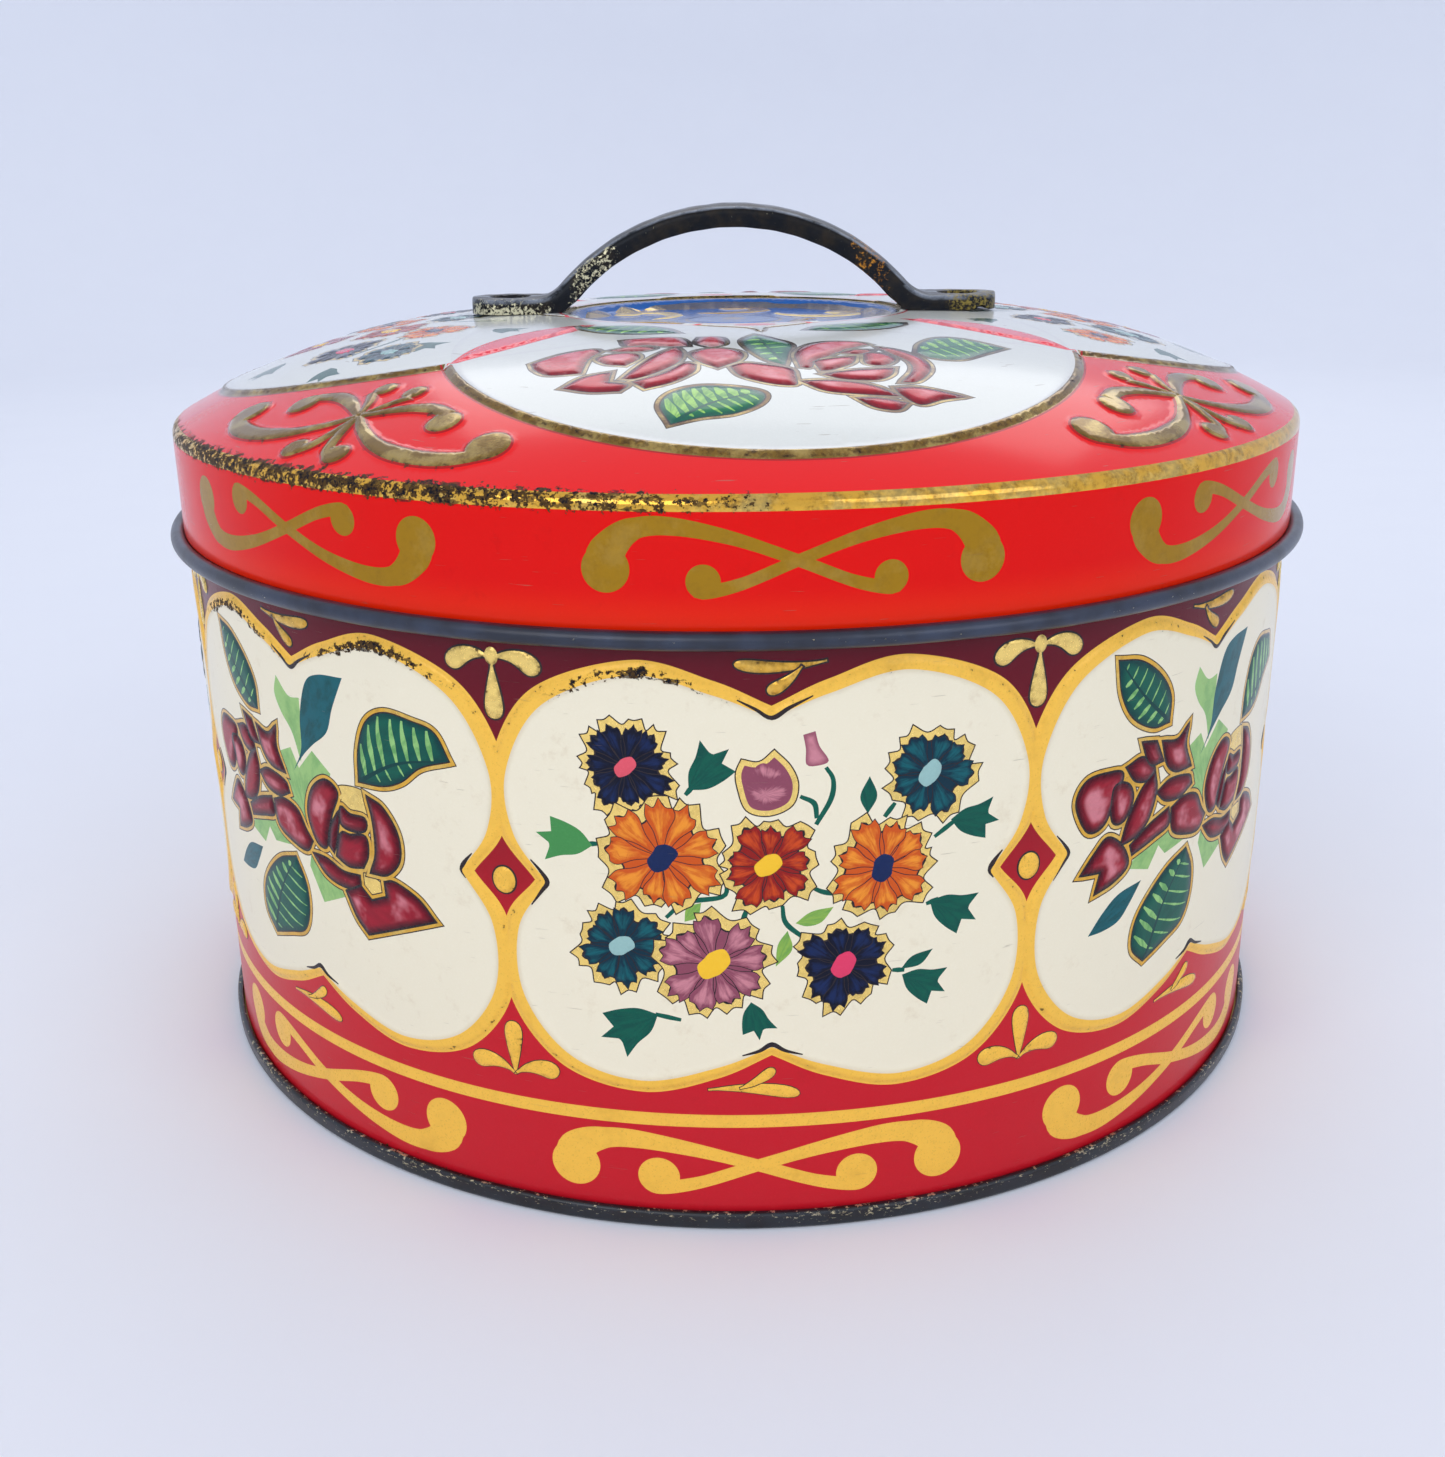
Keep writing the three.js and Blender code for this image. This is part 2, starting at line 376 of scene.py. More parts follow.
def cut(sheet, spacing, guides=()):
    # triangles of the sheet, whose edges follow every outline, and the shape each one shows
    points, faces, edges = [], [], []

    def add(outline, closed=True):
        # long straight edges are split, so that they bend with the tin
        start = len(points)
        ends = np.roll(outline, -1, 0) if closed else outline[1:]
        for here, there in zip(outline, ends):
            parts = 1 + int(math.dist(here, there) / weave["longestEdge"])
            step = np.array(there) - here
            points.extend(Vector(np.array(here) + step * k / parts) for k in range(parts))
        if not closed:
            points.append(Vector(outline[-1]))
        return list(range(start, len(points)))

    faces.append(add(sheet.edge))
    for shape in sheet.shapes:
        faces.append(add(shape["outline"]))
    for guide in guides:
        ring = add(guide, closed=False)
        edges.extend(zip(ring[:-1], ring[1:]))
    low, high = sheet.edge.min(0), sheet.edge.max(0)
    pitch = spacing * weave["rowPitch"]
    jog = spacing * weave["jog"]
    rows = int((high[1] - low[1]) / pitch) + 1
    dice = random.Random(7)
    grid = []
    for row in range(rows):
        y = low[1] + row * pitch
        x = low[0] + (row % 2) * spacing / 2
        while x < high[0]:
            grid.append((x + dice.uniform(-jog, jog), y + dice.uniform(-jog, jog)))
            x += spacing
    grid = np.array(grid)
    grid = grid[depthIn(grid, sheet.edge) > spacing * weave["edgeRoom"]]
    points.extend(Vector(p) for p in grid)
    made = delaunay_2d_cdt(points, edges, faces, 0, 1e-5, True)
    spots = np.array([tuple(p) for p in made[0]])
    kept = [(face, max(origin)) for face, origin in zip(made[2], made[5]) if 0 in origin]
    triangles = np.array([face for face, label in kept])
    labels = np.array([label for face, label in kept]) - 1
    used = np.unique(triangles)
    renumber = np.zeros(len(spots), int)
    renumber[used] = np.arange(len(used))
    return spots[used], renumber[triangles], labels


def boundary(triangles):
    # the sheet's outer edge as one loop of vertex numbers, in the triangles' own direction
    after = {}
    seen = {(a, b) for t in triangles for a, b in ((t[0], t[1]), (t[1], t[2]), (t[2], t[0]))}
    for a, b in seen:
        if (b, a) not in seen:
            after[a] = b
    start = next(iter(after))
    loop = [start]
    while after[loop[-1]] != start:
        loop.append(after[loop[-1]])
    return loop


def looksOf(sheet, spots, triangles, labels):
    # what is printed at each corner of each triangle
    at = spots[triangles.ravel()]
    owner = np.repeat(labels, 3)
    looks = {"ink": np.ones((len(at), 4)), "shade": np.ones((len(at), 4)),
             "grain": np.zeros((len(at), 3)), "coat": np.ones((len(at), 4))}
    for k, shape in enumerate(sheet.shapes):
        mine = np.nonzero(owner == k)[0]
        if not len(mine):
            continue
        here = at[mine]
        looks["ink"][mine] = shape["ink"]
        looks["shade"][mine] = shape["shade"]
        if shape["fade"]:
            other, low, high = shape["fade"]
            share = eased((here[:, 1] - low) / (high - low))[:, None]
            looks["ink"][mine] += (np.array(inks[other]) - shape["ink"]) * share
            looks["shade"][mine] = looks["ink"][mine]
        if shape["soft"]:
            spot, back = np.unique(triangles.ravel()[mine], return_inverse=True)
            inward = depthIn(spots[spot], shape["outline"])[back]
            looks["coat"][mine, 1] = np.clip(inward / shape["soft"], 0, 1)
        looks["coat"][mine, 0] = shape["foil"]
        looks["coat"][mine, 2] = shape["lit"]
        if shape["heart"] is not None:
            away = here - np.array(shape["heart"])
            looks["grain"][mine, 0] = np.arctan2(away[:, 1], away[:, 0]) * 7.0
            looks["grain"][mine, 1] = np.hypot(away[:, 0], away[:, 1]) * 0.25
        looks["grain"][mine, 2] = shape["streak"]
    return looks


class Pressing:
    # a cut sheet with its relief worked out, ready to be bent on to the tin
    def __init__(self, sheet, spacing, wearOf, guides=()):
        nudge = weave["nudge"]
        self.spots, self.triangles, self.labels = cut(sheet, spacing, guides)
        self.shifts = [(0, 0), (nudge, 0), (-nudge, 0), (0, nudge), (0, -nudge)]
        self.heights = sheet.heights(self.spots, self.shifts)
        slope = np.hypot(self.heights[1] - self.heights[2], self.heights[3] - self.heights[4])
        self.slope = np.clip(slope / (2 * nudge) / weave["steepest"], 0, 1)
        self.wear = wearOf(self.spots, self.heights[0])
        self.looks = looksOf(sheet, self.spots, self.triangles, self.labels)
        self.loop = boundary(self.triangles)

    def bend(self, onTin, thick):
        # positions, normals and triangles of the closed, bent sheet
        shapes = [onTin(self.spots + np.array(s), h) for s, h in zip(self.shifts, self.heights)]
        front = shapes[0]
        normals = np.cross(shapes[1] - shapes[2], shapes[3] - shapes[4])
        normals /= np.linalg.norm(normals, axis=1)[:, None]
        rim = self.spots[self.loop]
        low, high = rim.min(0), rim.max(0)
        columns = np.arange(low[0] + weave["backStart"], high[0], weave["backGrid"])
        rows = np.arange(low[1] + weave["backStart"], high[1], weave["backGrid"])
        coarse = np.array([(x, y) for x in columns for y in rows])
        coarse = coarse[depthIn(coarse, rim) > weave["backRoom"]]
        flat = [Vector(p) for p in np.vstack([rim, coarse])]
        back = delaunay_2d_cdt(flat, [], [list(range(len(rim)))], 1, 1e-7, True)
        backSpots = np.array([tuple(p) for p in back[0]])
        # triangles that bridge a hollow or a straight run of the rim lie outside the sheet
        middles = backSpots[np.array(back[2])].mean(1)
        within = depthIn(middles, rim) > weave["stray"]
        behind = onTin(backSpots, np.full(len(backSpots), -thick))
        start = len(front)
        backFaces = [[start + i for i in reversed(f)] for f, inside in zip(back[2], within) if inside]
        order = [start + next(i for i, o in enumerate(back[3]) if k in o) for k in range(len(rim))]
        strip = []
        for k in range(len(rim)):
            a, b = self.loop[k], self.loop[(k + 1) % len(rim)]
            c, d = order[k], order[(k + 1) % len(rim)]
            strip += [[b, a, c], [b, c, d]]
        backNormals = -np.cross(onTin(backSpots + np.array([0.1, 0]), -thick) - behind,
                                onTin(backSpots + np.array([0, 0.1]), -thick) - behind)
        backNormals /= np.linalg.norm(backNormals, axis=1)[:, None]
        return np.vstack([front, behind]), np.vstack([normals, backNormals]), backFaces, strip


def fill(mesh, name, kind, domain, field, values):
    made = mesh.attributes.new(name, kind, domain)
    made.data.foreach_set(field, np.ascontiguousarray(values, np.float32).ravel())


def buildSheet(name, pressing, onTin, material, turn=0.0, thick=0.18, unroll=None):
    # makes the mesh of one printed piece; turn is its place round the tin in degrees
    points, normals, backFaces, strip = pressing.bend(onTin, thick)
    c, s = math.cos(math.radians(turn)), math.sin(math.radians(turn))
    spin = np.array([[c, s, 0], [-s, c, 0], [0, 0, 1]])
    points = points @ spin
    normals = normals @ spin
    front = pressing.triangles
    faces = front.tolist() + backFaces + strip
    mesh = bpy.data.meshes.new(name)
    mesh.from_pydata((points * mm).tolist(), [], faces)
    total = sum(len(f) for f in faces)
    shown = len(front) * 3
    for key, kind, field, bare in (("ink", "FLOAT_COLOR", "color", inks["lacquer"]),
                                   ("shade", "FLOAT_COLOR", "color", inks["lacquer"]),
                                   ("grain", "FLOAT_VECTOR", "vector", (0, 0, 0)),
                                   ("coat", "FLOAT_COLOR", "color", (1, 1, 0, 1))):
        hidden = np.tile(np.array(bare, float), (total - shown, 1))
        fill(mesh, key, kind, "CORNER", field, np.vstack([pressing.looks[key], hidden]))
    hidden = np.zeros(len(points) - len(pressing.spots))
    fill(mesh, "slope", "FLOAT", "POINT", "value", np.concatenate([pressing.slope, hidden]))
    fill(mesh, "wear", "FLOAT", "POINT", "value", np.concatenate([pressing.wear, hidden]))
    chart = (unroll or (lambda p: p))(pressing.spots)
    low, high = chart.min(0), chart.max(0)
    chart = 0.004 + 0.992 * (chart - low) / (high - low)
    laid = np.zeros((total, 2))
    laid[:shown] = chart[front.ravel()]
    laid[shown:] = 0.5 + 0.002 * (np.arange(total - shown)[:, None] % 3 > [[0, 1]])
    layer = mesh.uv_layers.new(name="OFBake")
    layer.data.foreach_set("uv", laid.astype(np.float32).ravel())
    mesh.materials.append(material)
    mesh.shade_smooth()
    mesh.normals_split_custom_set_from_vertices(normals.tolist())
    piece = bpy.data.objects.new(name, mesh)
    bpy.context.scene.collection.objects.link(piece)
    return piece


printLook = {
    "gloss": 0.3,
    "coat": 0.26,
    "shine": 0.08,
    "wornTowards": (-0.62, -0.78),   # the side of the tin that has been rubbed most
    "grainSize": 2.6,        # print grain, per millimetre
    "stain": 0.35,
    "speckle": 0.5,          # how readily raised edges are worn black
}


def printedTin(name, look):
    # litho inks over tinplate: flat inks, gold foil on raised lines, worn edges, a varnish on top
    p = Paint(name)
    place = p.place()
    ink = p.read("ink", "Color")
    shade = p.read("shade", "Color")
    grain = p.read("grain", "Vector")
    coat = p.read("coat", "Color")
    foil, swell, lit = (p.channel(coat, i) for i in range(3))
    slope = p.read("slope")
    wear = p.read("wear")
    streakAmount = p.node("ShaderNodeSeparateXYZ", {}, {0: grain}, 2)
    streak = p.between(p.noise(grain, 1.0, 3.0, 0.6, (1, 1, 0)), 0.38, 0.66)
    broad = p.noise(place, 0.16, 3.0, 0.55)
    fine = p.noise(place, look["grainSize"], 2.0, 0.6)
    rough = p.noise(place, 0.75, 5.0, 0.68, shift=(31, 7, 3))
    blot = p.noise(place, 1.9, 3.0, 0.6, shift=(5, 50, 9))

    inner = p.between(swell, 0.0, 0.9)
    body = p.mix(streakAmount * streak + (1 - inner) * 0.85, ink, shade)
    glow = lit * p.between(swell, 0.45, 1.0) * p.between(broad, 0.42, 0.62)
    body = p.mix(glow, body, srgb(250, 170, 178))
    body = p.mix((fine - 0.5) * 0.5, body, srgb(255, 250, 240), "SOFT_LIGHT")
    # soiling in soft patches, and a few thin scratches
    patch = p.between(broad * 0.6 + rough * 0.4, 0.56, 0.72) * look["stain"]
    body = p.mix(patch * 0.5, body, srgb(190, 160, 116), "MULTIPLY")
    scratch = p.between(p.noise(place, 0.5, 2.0, 0.5, (0.35, 0.35, 9), (2, 9, 4)), 0.735, 0.76)
    body = p.mix(scratch * 0.35 * (1 - foil), body, srgb(150, 130, 110))

    # gold foil is brown in random patches and most where it was handled, with painted pale highlights in
    # soft patches, and dark brown on the steep sides of its relief, partly wear and partly painted shade
    # in its creases
    tone = p.between(rough * 0.7 + broad * 0.5, 0.52, 0.76)
    gilt = p.mix(tone * (0.3 + wear * 0.55), ink, srgb(98, 66, 24))
    # painted highlight: pale gold patches on the foil
    gilt = p.mix(p.between(broad * 0.8 + blot * 0.2, 0.46, 0.62) * (foil * 0.5 - 0.18), gilt,
                 srgb(255, 228, 140))
    # dark brown on the steep sides of the relief: partly wear, partly painted shade
    gilt = p.mix(p.between(slope, 0.2, 0.9) * p.between(rough, 0.4, 0.6) * 0.7, gilt, srgb(70, 46, 22))
    body = p.mix(foil, body, gilt)

    # wear: black and brown smears and chips along raised edges, most on one side of the tin
    across, front = (p.node("ShaderNodeSeparateXYZ", {}, {0: place}, i) for i in range(2))
    side = p.between(across * look["wornTowards"][0] + front * look["wornTowards"][1], 66.0, 104.0)
    worn = wear * (0.45 + side * 0.65)
    edgeWear = p.between(rough + slope * 0.12 + worn * 0.2, 0.69, 0.75) * p.between(slope + worn, 0.3,
            0.7)
    chips = p.between(blot * 0.4 + rough * 0.7 + worn * 0.3, 0.8, 0.84) * p.between(worn, 0.2, 0.5)
    smear = p.between(p.noise(place, 0.3, 4.0, 0.7, (1, 1, 2.4), (8, 1, 5)) + worn * 0.12, 0.6, 0.67)
    smear = smear * p.between(worn, 0.4, 0.7)
    dark = p.between(edgeWear * look["speckle"] + chips + smear * 0.5, 0.25, 0.6)
    body = p.mix(dark, body, p.mix(p.between(blot, 0.4, 0.6), srgb(24, 26, 34), srgb(84, 62, 34)))

    metal = foil * (0.7 - dark * 0.5)
    gloss = look["gloss"] + (fine - 0.5) * 0.12 + patch * 0.15 + dark * 0.3 - foil * 0.06
    height = fine * 0.25 + broad * 0.8 - dark * 0.9 - scratch * 0.4
    sockets = {"Base Color": body, "Metallic": metal, "Roughness": gloss,
               "Specular IOR Level": look["shine"], "Coat Weight": (1 - dark) * look["coat"],
               "Coat Roughness": 0.12}
    return p.finish(sockets, height, 0.06)


print("materials and curves ready")

wallArt = {
    "width": 2 * math.pi * wallRadius / 8,
    "low": 2.4,
    "high": wallTop - 2.0,
    "turn": 2.7,
    "ringLow": 18.3,
    "ringHigh": 20.6,
    "panelRise": 0.28,
    "bandRise": 0.5,
}


def mirrored(points):
    # a closed outline given by its right half, from its lowest point on the middle line upwards
    left = [(-p[0], *p[1:]) for p in reversed(points) if abs(p[0]) > 1e-9]
    return list(points) + left


panelEdge = curve(mirrored([(0, 33, 1), (8.5, 29.4), (20.5, 26.6), (32, 30), (39.2, 39.5), (39.6, 51),
                            (34.5, 59.5, 1), (39.6, 67), (40.3, 77), (34, 88), (20.5, 93.3),
                            (8.5, 90.5), (0, 87, 1)]))
bandEdge = curve(mirrored([(0, 31.3, 1), (8.5, 27.2), (20.5, 24.3), (33.6, 27.8), (41.8, 38.4),
                           (42, 52), (36.6, 59.5, 1), (42.2, 67), (43.1, 77.6), (36, 90),
                           (20.5, 95.5), (8.5, 92.6), (0, 88.7, 1)]))


def inkLine(sheet, outline, by=0.2, foil=0.4):
    # a dark line that shows all round whatever is laid over it
    sheet.lay(grow(outline, by), "line", foil=foil)


def leafOf(sheet, points, light=0.5, ribs=7, place=None, inkNames=("leaf", "leafDark", "rib"),
           rimInk="gold"):
    # a leaf with a gold edge and pale ribs; its first point is the base and its sharpest far one the tip
    edge = curve(points) if place is None else place(curve(points))
    base = edge[0]
    tip = edge[np.argmax(((edge - base)**2).sum(1))]
    leafInk, deepInk, ribInk = inkNames
    rim = grow(edge, 0.85)
    inkLine(sheet, edge, 1.02, 0.4)
    sheet.lay(rim, rimInk, foil=1.0)
    inkLine(sheet, edge, 0.25, 0.4)
    sheet.press(grow(edge, 1.1), 0.5, 1.1)
    sheet.lay(edge, leafInk, deepInk, soft=1.6, streak=0.4, heart=base)
    along = tip - base
    side = np.array([-along[1], along[0]])
    width = 0.25 * np.abs(((edge - base) @ side) / (side @ side)).max()
    bow = curve([tuple(base), tuple((base + tip) / 2 + side * width * 0.6), tuple(tip)], closed=False)
    sheet.pillow(edge, 0.22, 2.2)
    for k in range(1, ribs + 1):
        share = k / (ribs + 1.0)
        start = bow[int(share * (len(bow) - 1))]
        for flip in (-1, 1):
            reach = along * 0.17 + side * flip * 0.55
            far = start + reach
            path = curve([tuple(start), tuple(start + reach * 0.5 - along * 0.03), tuple(far)],
                         closed=False)
            inside = path[depthIn(path, edge) > 0.35]
            if len(inside) > 2:
                wide = (1.25 if flip > 0 else 0.5) * light
                sheet.lay(ribbon(inside, (wide * 0.6, wide * 1.5, wide * 0.5)), ribInk, "leafMid",
                          streak=0.7, heart=base)
    sheet.lay(ribbon(bow[1:-1], (0.8, 0.5, 0.2)), deepInk)


def bloom(sheet, x, y, size, petals, colours, seed, turn=0.0, heart=0.3, halo=1.2):
    # an open flower: a gold edge round it, its petals, and a button in the middle
    dice = random.Random(seed)
    petalInk, petalShade, heartInk = colours
    pitch = 2 * math.pi / petals
    reach = [size * dice.uniform(0.87, 1.14) for k in range(petals)]
    lean = [dice.uniform(-0.2, 0.2) * pitch for k in range(petals)]

    def polar(distance, angle):
        return (x + distance * math.cos(angle), y + distance * math.sin(angle))

    rim = []
    for k in range(petals):
        angle = turn + k * pitch + lean[k]
        valley = 0.5 * (reach[k] + reach[(k + 1) % petals]) * 0.79
        rim.append(polar(reach[k] + halo * dice.uniform(1.0, 1.6), angle - 0.18 * pitch) + (1,))
        rim.append(polar(reach[k] + halo * dice.uniform(0.6, 1.0), angle + 0.04 * pitch))
        rim.append(polar(reach[k] + halo * dice.uniform(0.8, 1.3), angle + 0.24 * pitch) + (1,))
        rim.append(polar(valley + halo * dice.uniform(0.9, 1.3), turn + (k + 0.5) * pitch))
    edge = curve(rim)
    middle = np.array([x, y])
    inkLine(sheet, edge, 0.2, 0.4)
    sheet.lay(edge, "goldPale", foil=0.7)
    sheet.press(edge, 0.6, 1.15)
    base = []
    for k in range(petals):
        angle = turn + k * pitch + lean[k]
        base.append(polar(reach[k], angle))
        base.append(polar(size * 0.74, turn + (k + 0.5) * pitch))
    inkLine(sheet, curve(base), 0.3, 0.3)
    sheet.lay(curve(base), petalShade)
    for k in range(petals):
        angle = turn + k * pitch + lean[k]
        wide = 0.47 * pitch
        a, b, c = (dice.uniform(-0.05, 0.06) for i in range(3))
        form = [(0.12, 0), (0.5, 0.72), (0.8, 0.98), (0.98 + a, 0.74, 1), (0.93, 0.36),
                (1.05 + b, 0.06, 1), (0.93, -0.3), (0.98 + c, -0.72, 1), (0.8, -0.98), (0.5, -0.72)]
        petal = curve([polar(reach[k] * f[0], angle + wide * f[1]) + f[2:] for f in form], 0.5)
        inkLine(sheet, petal, 0.13, 0.2)
        sheet.lay(petal, petalInk, petalShade, soft=size * 0.13, streak=0.75, heart=middle)
        sheet.pillow(petal, 0.16, size * 0.16)
    button = [polar(size * heart * (1.0 + 0.24 * math.cos(k * math.pi / 2 - 1)) * dice.uniform(0.9, 1.1),
                    turn + k * math.pi / 4) for k in range(8)]
    button = curve(button, 0.45)
    sheet.lay(button, heartInk)
    sheet.pillow(button, 0.16, 0.9)


def threePoint(sheet, x, y, size, turn, ink="leaf"):
    # a small flat leaf with three points
    form = [(0, 0, 1), (0.3, 0.26), (0.66, 0.38), (1.0, 0.56, 1), (0.93, 0.24), (0.96, 0.14, 1),
            (1.26, -0.02, 1), (0.92, -0.12, 1), (0.98, -0.46, 1), (0.62, -0.4), (0.28, -0.27)]
    shape = shifted(curve([(a * size, b * size, *c) for a, b, *c in form], 0.5), (x, y), turn)
    sheet.lay(shape, ink, "leafDark" if ink == "leaf" else "leafMid", streak=0.5, heart=(x, y))


def stem(sheet, points, width=0.85):
    sheet.lay(ribbon(curve(points, closed=False), (width * 0.7, width, width * 0.8)), "leaf")


def petals(sheet, shapes, colours, place=None, halo=0.95, line=0.4, lit=0.5, rimInk="gold"):
    # the petals of a rose: gold behind them all, then a dark line and a swelling for each
    petalInk, petalShade = colours
    made = [curve(points) if place is None else place(curve(points)) for points in shapes]
    for outline in made:
        sheet.lay(grow(outline, halo + 0.2), "line", foil=0.4)
        sheet.press(grow(outline, halo + 0.2), 0.45, 1.1)
    for outline in made:
        sheet.lay(grow(outline, halo), rimInk, foil=1.0)
    for outline in made:
        sheet.lay(grow(outline, line), "line", foil=0.35)
        sheet.lay(outline, petalInk, petalShade, soft=1.9, lit=lit, streak=0.2, heart=outline[0])
        sheet.pillow(outline, 0.34, 1.7)


def gilded(sheet, outline, ink="bandYellow", foil=0.25, rise=0.3):
    sheet.lay(outline, ink, foil=foil)
    sheet.press(grow(outline, 0.25), rise, 0.8)


def buds(sheet, drops, x, by, *gilding):
    # gilt teardrops with a dark line round each, moved sideways by x
    for base, tip, width, bend in drops:
        shape = drop(base, tip, width, bend) + (x, 0)
        inkLine(sheet, shape, *by)
        gilded(sheet, shape, *gilding)


def scroll(sheet, x, y, form, flip, ink, foil):
    # two crossed S-shaped arms, each from a large outer head to a small inner one
    outerX, outerY, outerR = form["outer"]
    innerX, innerY, innerR = form["inner"]
    arch, dip, width = form["arch"], form["dip"], form["width"]
    for side in (-1, 1):
        path = curve([(-outerX, outerY - outerR * 0.1), (-outerX * 0.985, outerY + outerR * 0.72),
                      (-outerX * 0.86, arch * 0.88), (-outerX * 0.66, arch),
                      (-outerX * 0.34, arch * 0.66), (0, 0), (innerX * 0.6, dip * 0.74), (innerX, dip),
                      (innerX + innerR * 0.55, innerY - innerR * 0.2)],
                     closed=False)
        arm = ribbon(path, (outerR * 1.9, outerR * 1.35, width * 1.35, width * 1.2, width * 1.05,
                            width * 0.9, width * 0.8, width * 0.78, width * 0.8, width * 0.8,
                            width * 0.9, width * 1.0))
        for shape in (arm, oval(-outerX, outerY, outerR), oval(innerX, innerY, innerR)):
            placed = np.stack([x + side * shape[:, 0], y + flip * shape[:, 1]], 1)
            sheet.lay(placed, ink, foil=foil)


def wallSheet(kind, seam=False):
    # one eighth of the wall: ground, panel, ornaments between panels, ring, and the lower scroll
    half = wallArt["width"] / 2
    low, high = wallArt["low"], wallArt["high"]
    rungs = np.arange(low, high, 0.8)
    edge = np.vstack([[(x, low) for x in np.linspace(-half, half, 100)[:-1]],
                      [(half, v) for v in rungs], [(half, high)],
                      [(x, high) for x in np.linspace(half, -half, 100)[1:-1]],
                      [(-half, high)], [(-half, v) for v in rungs[::-1][:-1]]])
    sheet = Sheet(edge)
    reach = half + 4
    sheet.lay(edge, "red", fade=("maroon", 30, 96))
    sheet.lay(np.array([(-reach, 98.5), (reach, 98.5), (reach, high + 1), (-reach, high + 1)]), "lacquer",
              foil=0.9)
    under, over = wallArt["ringLow"], wallArt["ringHigh"]
    ring = np.array([(-reach, under), (reach, under), (reach, over), (-reach, over)])
    sheet.lay(ring, "bandYellow", foil=0.2)
    for side in (-2 * half, 0, 2 * half):
        sheet.lay(bandEdge + (side, 0), "bandYellow", foil=0.16)
    for side in (-2 * half, 0, 2 * half):
        sheet.lay(panelEdge + (side, 0), "cream", "creamShade", soft=0.9)
        sheet.press(bandEdge + (side, 0), wallArt["bandRise"], 1.5)
        sheet.pillow(panelEdge + (side, 0), wallArt["panelRise"] - wallArt["bandRise"], 1.6)
    # the points of the panel, where the print has cracked dark
    for points in ([(-4.6, 31.5), (-2, 32.3), (0, 33.4), (2, 32.3), (4.8, 31.4)],
                   [(-37.2, 55.4), (-35.4, 57.9), (-34.4, 59.5), (-35.4, 61.2), (-37, 63)],
                   [(35.2, 58.2), (34.4, 59.5), (35.3, 61.1), (36.6, 62.6)],
                   [(-5, 89.8), (-2.4, 88.4), (0, 87), (2.6, 88.5), (6, 90.2)]):
        widths = (0.2, 0.5, 0.8, 0.5, 0.2)
        sheet.lay(ribbon(curve(points, closed=False), widths), "line", foil=0.3)
    for x in (-half, half):
        dot = oval(x, 58.8, 1.9, 2.2)
        inkLine(sheet, dot, 0.3, 0.3)
        gilded(sheet, dot, rise=0.35)
        # a three-lobed bud under the ring's panels, and an upside-down one above
        buds(sheet, (((0, 24.6), (0, 34.2), 4.1, 0.0), ((0.2, 24.9), (7.6, 25.8), 4.1, 0.3),
                     ((-0.2, 24.9), (-7.6, 25.8), 4.1, -0.3)), x, (0.14, 0.2), "bandYellow", 0.25, 0.35)
        buds(sheet, (((0, 93.6), (0, 85.0), 4.0, 0.0), ((0.3, 94.6), (7.4, 92.6), 4.0, 0.34),
                     ((-0.3, 94.6), (-7.4, 92.6), 4.0, -0.34)), x, (0.3, 0.3), "goldPale", 0.7, 0.35)
        gilded(sheet, oval(x, 94.8, 1.1, 1.4), "goldPale", 0.7, 0.3)
    lean = 1 if kind == "flower" else -1
    buds(sheet, (((-10, 25.2), (4.4, 24.2), 2.9, 0.1), ((-5, 25.6), (0.4, 28.9), 2.3, -0.12)), 0,
         (0.14, 0.2))
    buds(sheet, (((8 * lean, 95.3), (-5.4 * lean, 95.1), 2.4, 0.1 * lean),
                 ((4.4 * lean, 94.6), (-0.6 * lean, 90.8), 2.4, 0.14 * lean)), 0, (0.28, 0.3), "gold",
                 0.9)
    form = {"outer": (29.8, -1.4, 4.1), "inner": (16, -2.4, 3.4), "arch": 4.2, "dip": -4.5, "width": 2.75}
    scroll(sheet, -2.2, 11.3 if lean > 0 else 11.0, form, lean, "bandYellow", 0.2)
    if kind == "flower":
        posy(sheet)
    else:
        roseSpray(sheet)
    if seam:
        for x in (-5.9, -3.9):
            crease = np.array([(x, low - 1), (x + 0.3, low - 1), (x + 0.3, high + 1), (x, high + 1)])
            sheet.lay(crease, "line", foil=0.6)
        strip = np.array([(-5.6, low - 1), (-3.9, low - 1), (-3.9, high + 1), (-5.6, high + 1)])
        sheet.pillow(curve([(*p, 1) for p in strip]), -0.22, 0.4)
    return sheet


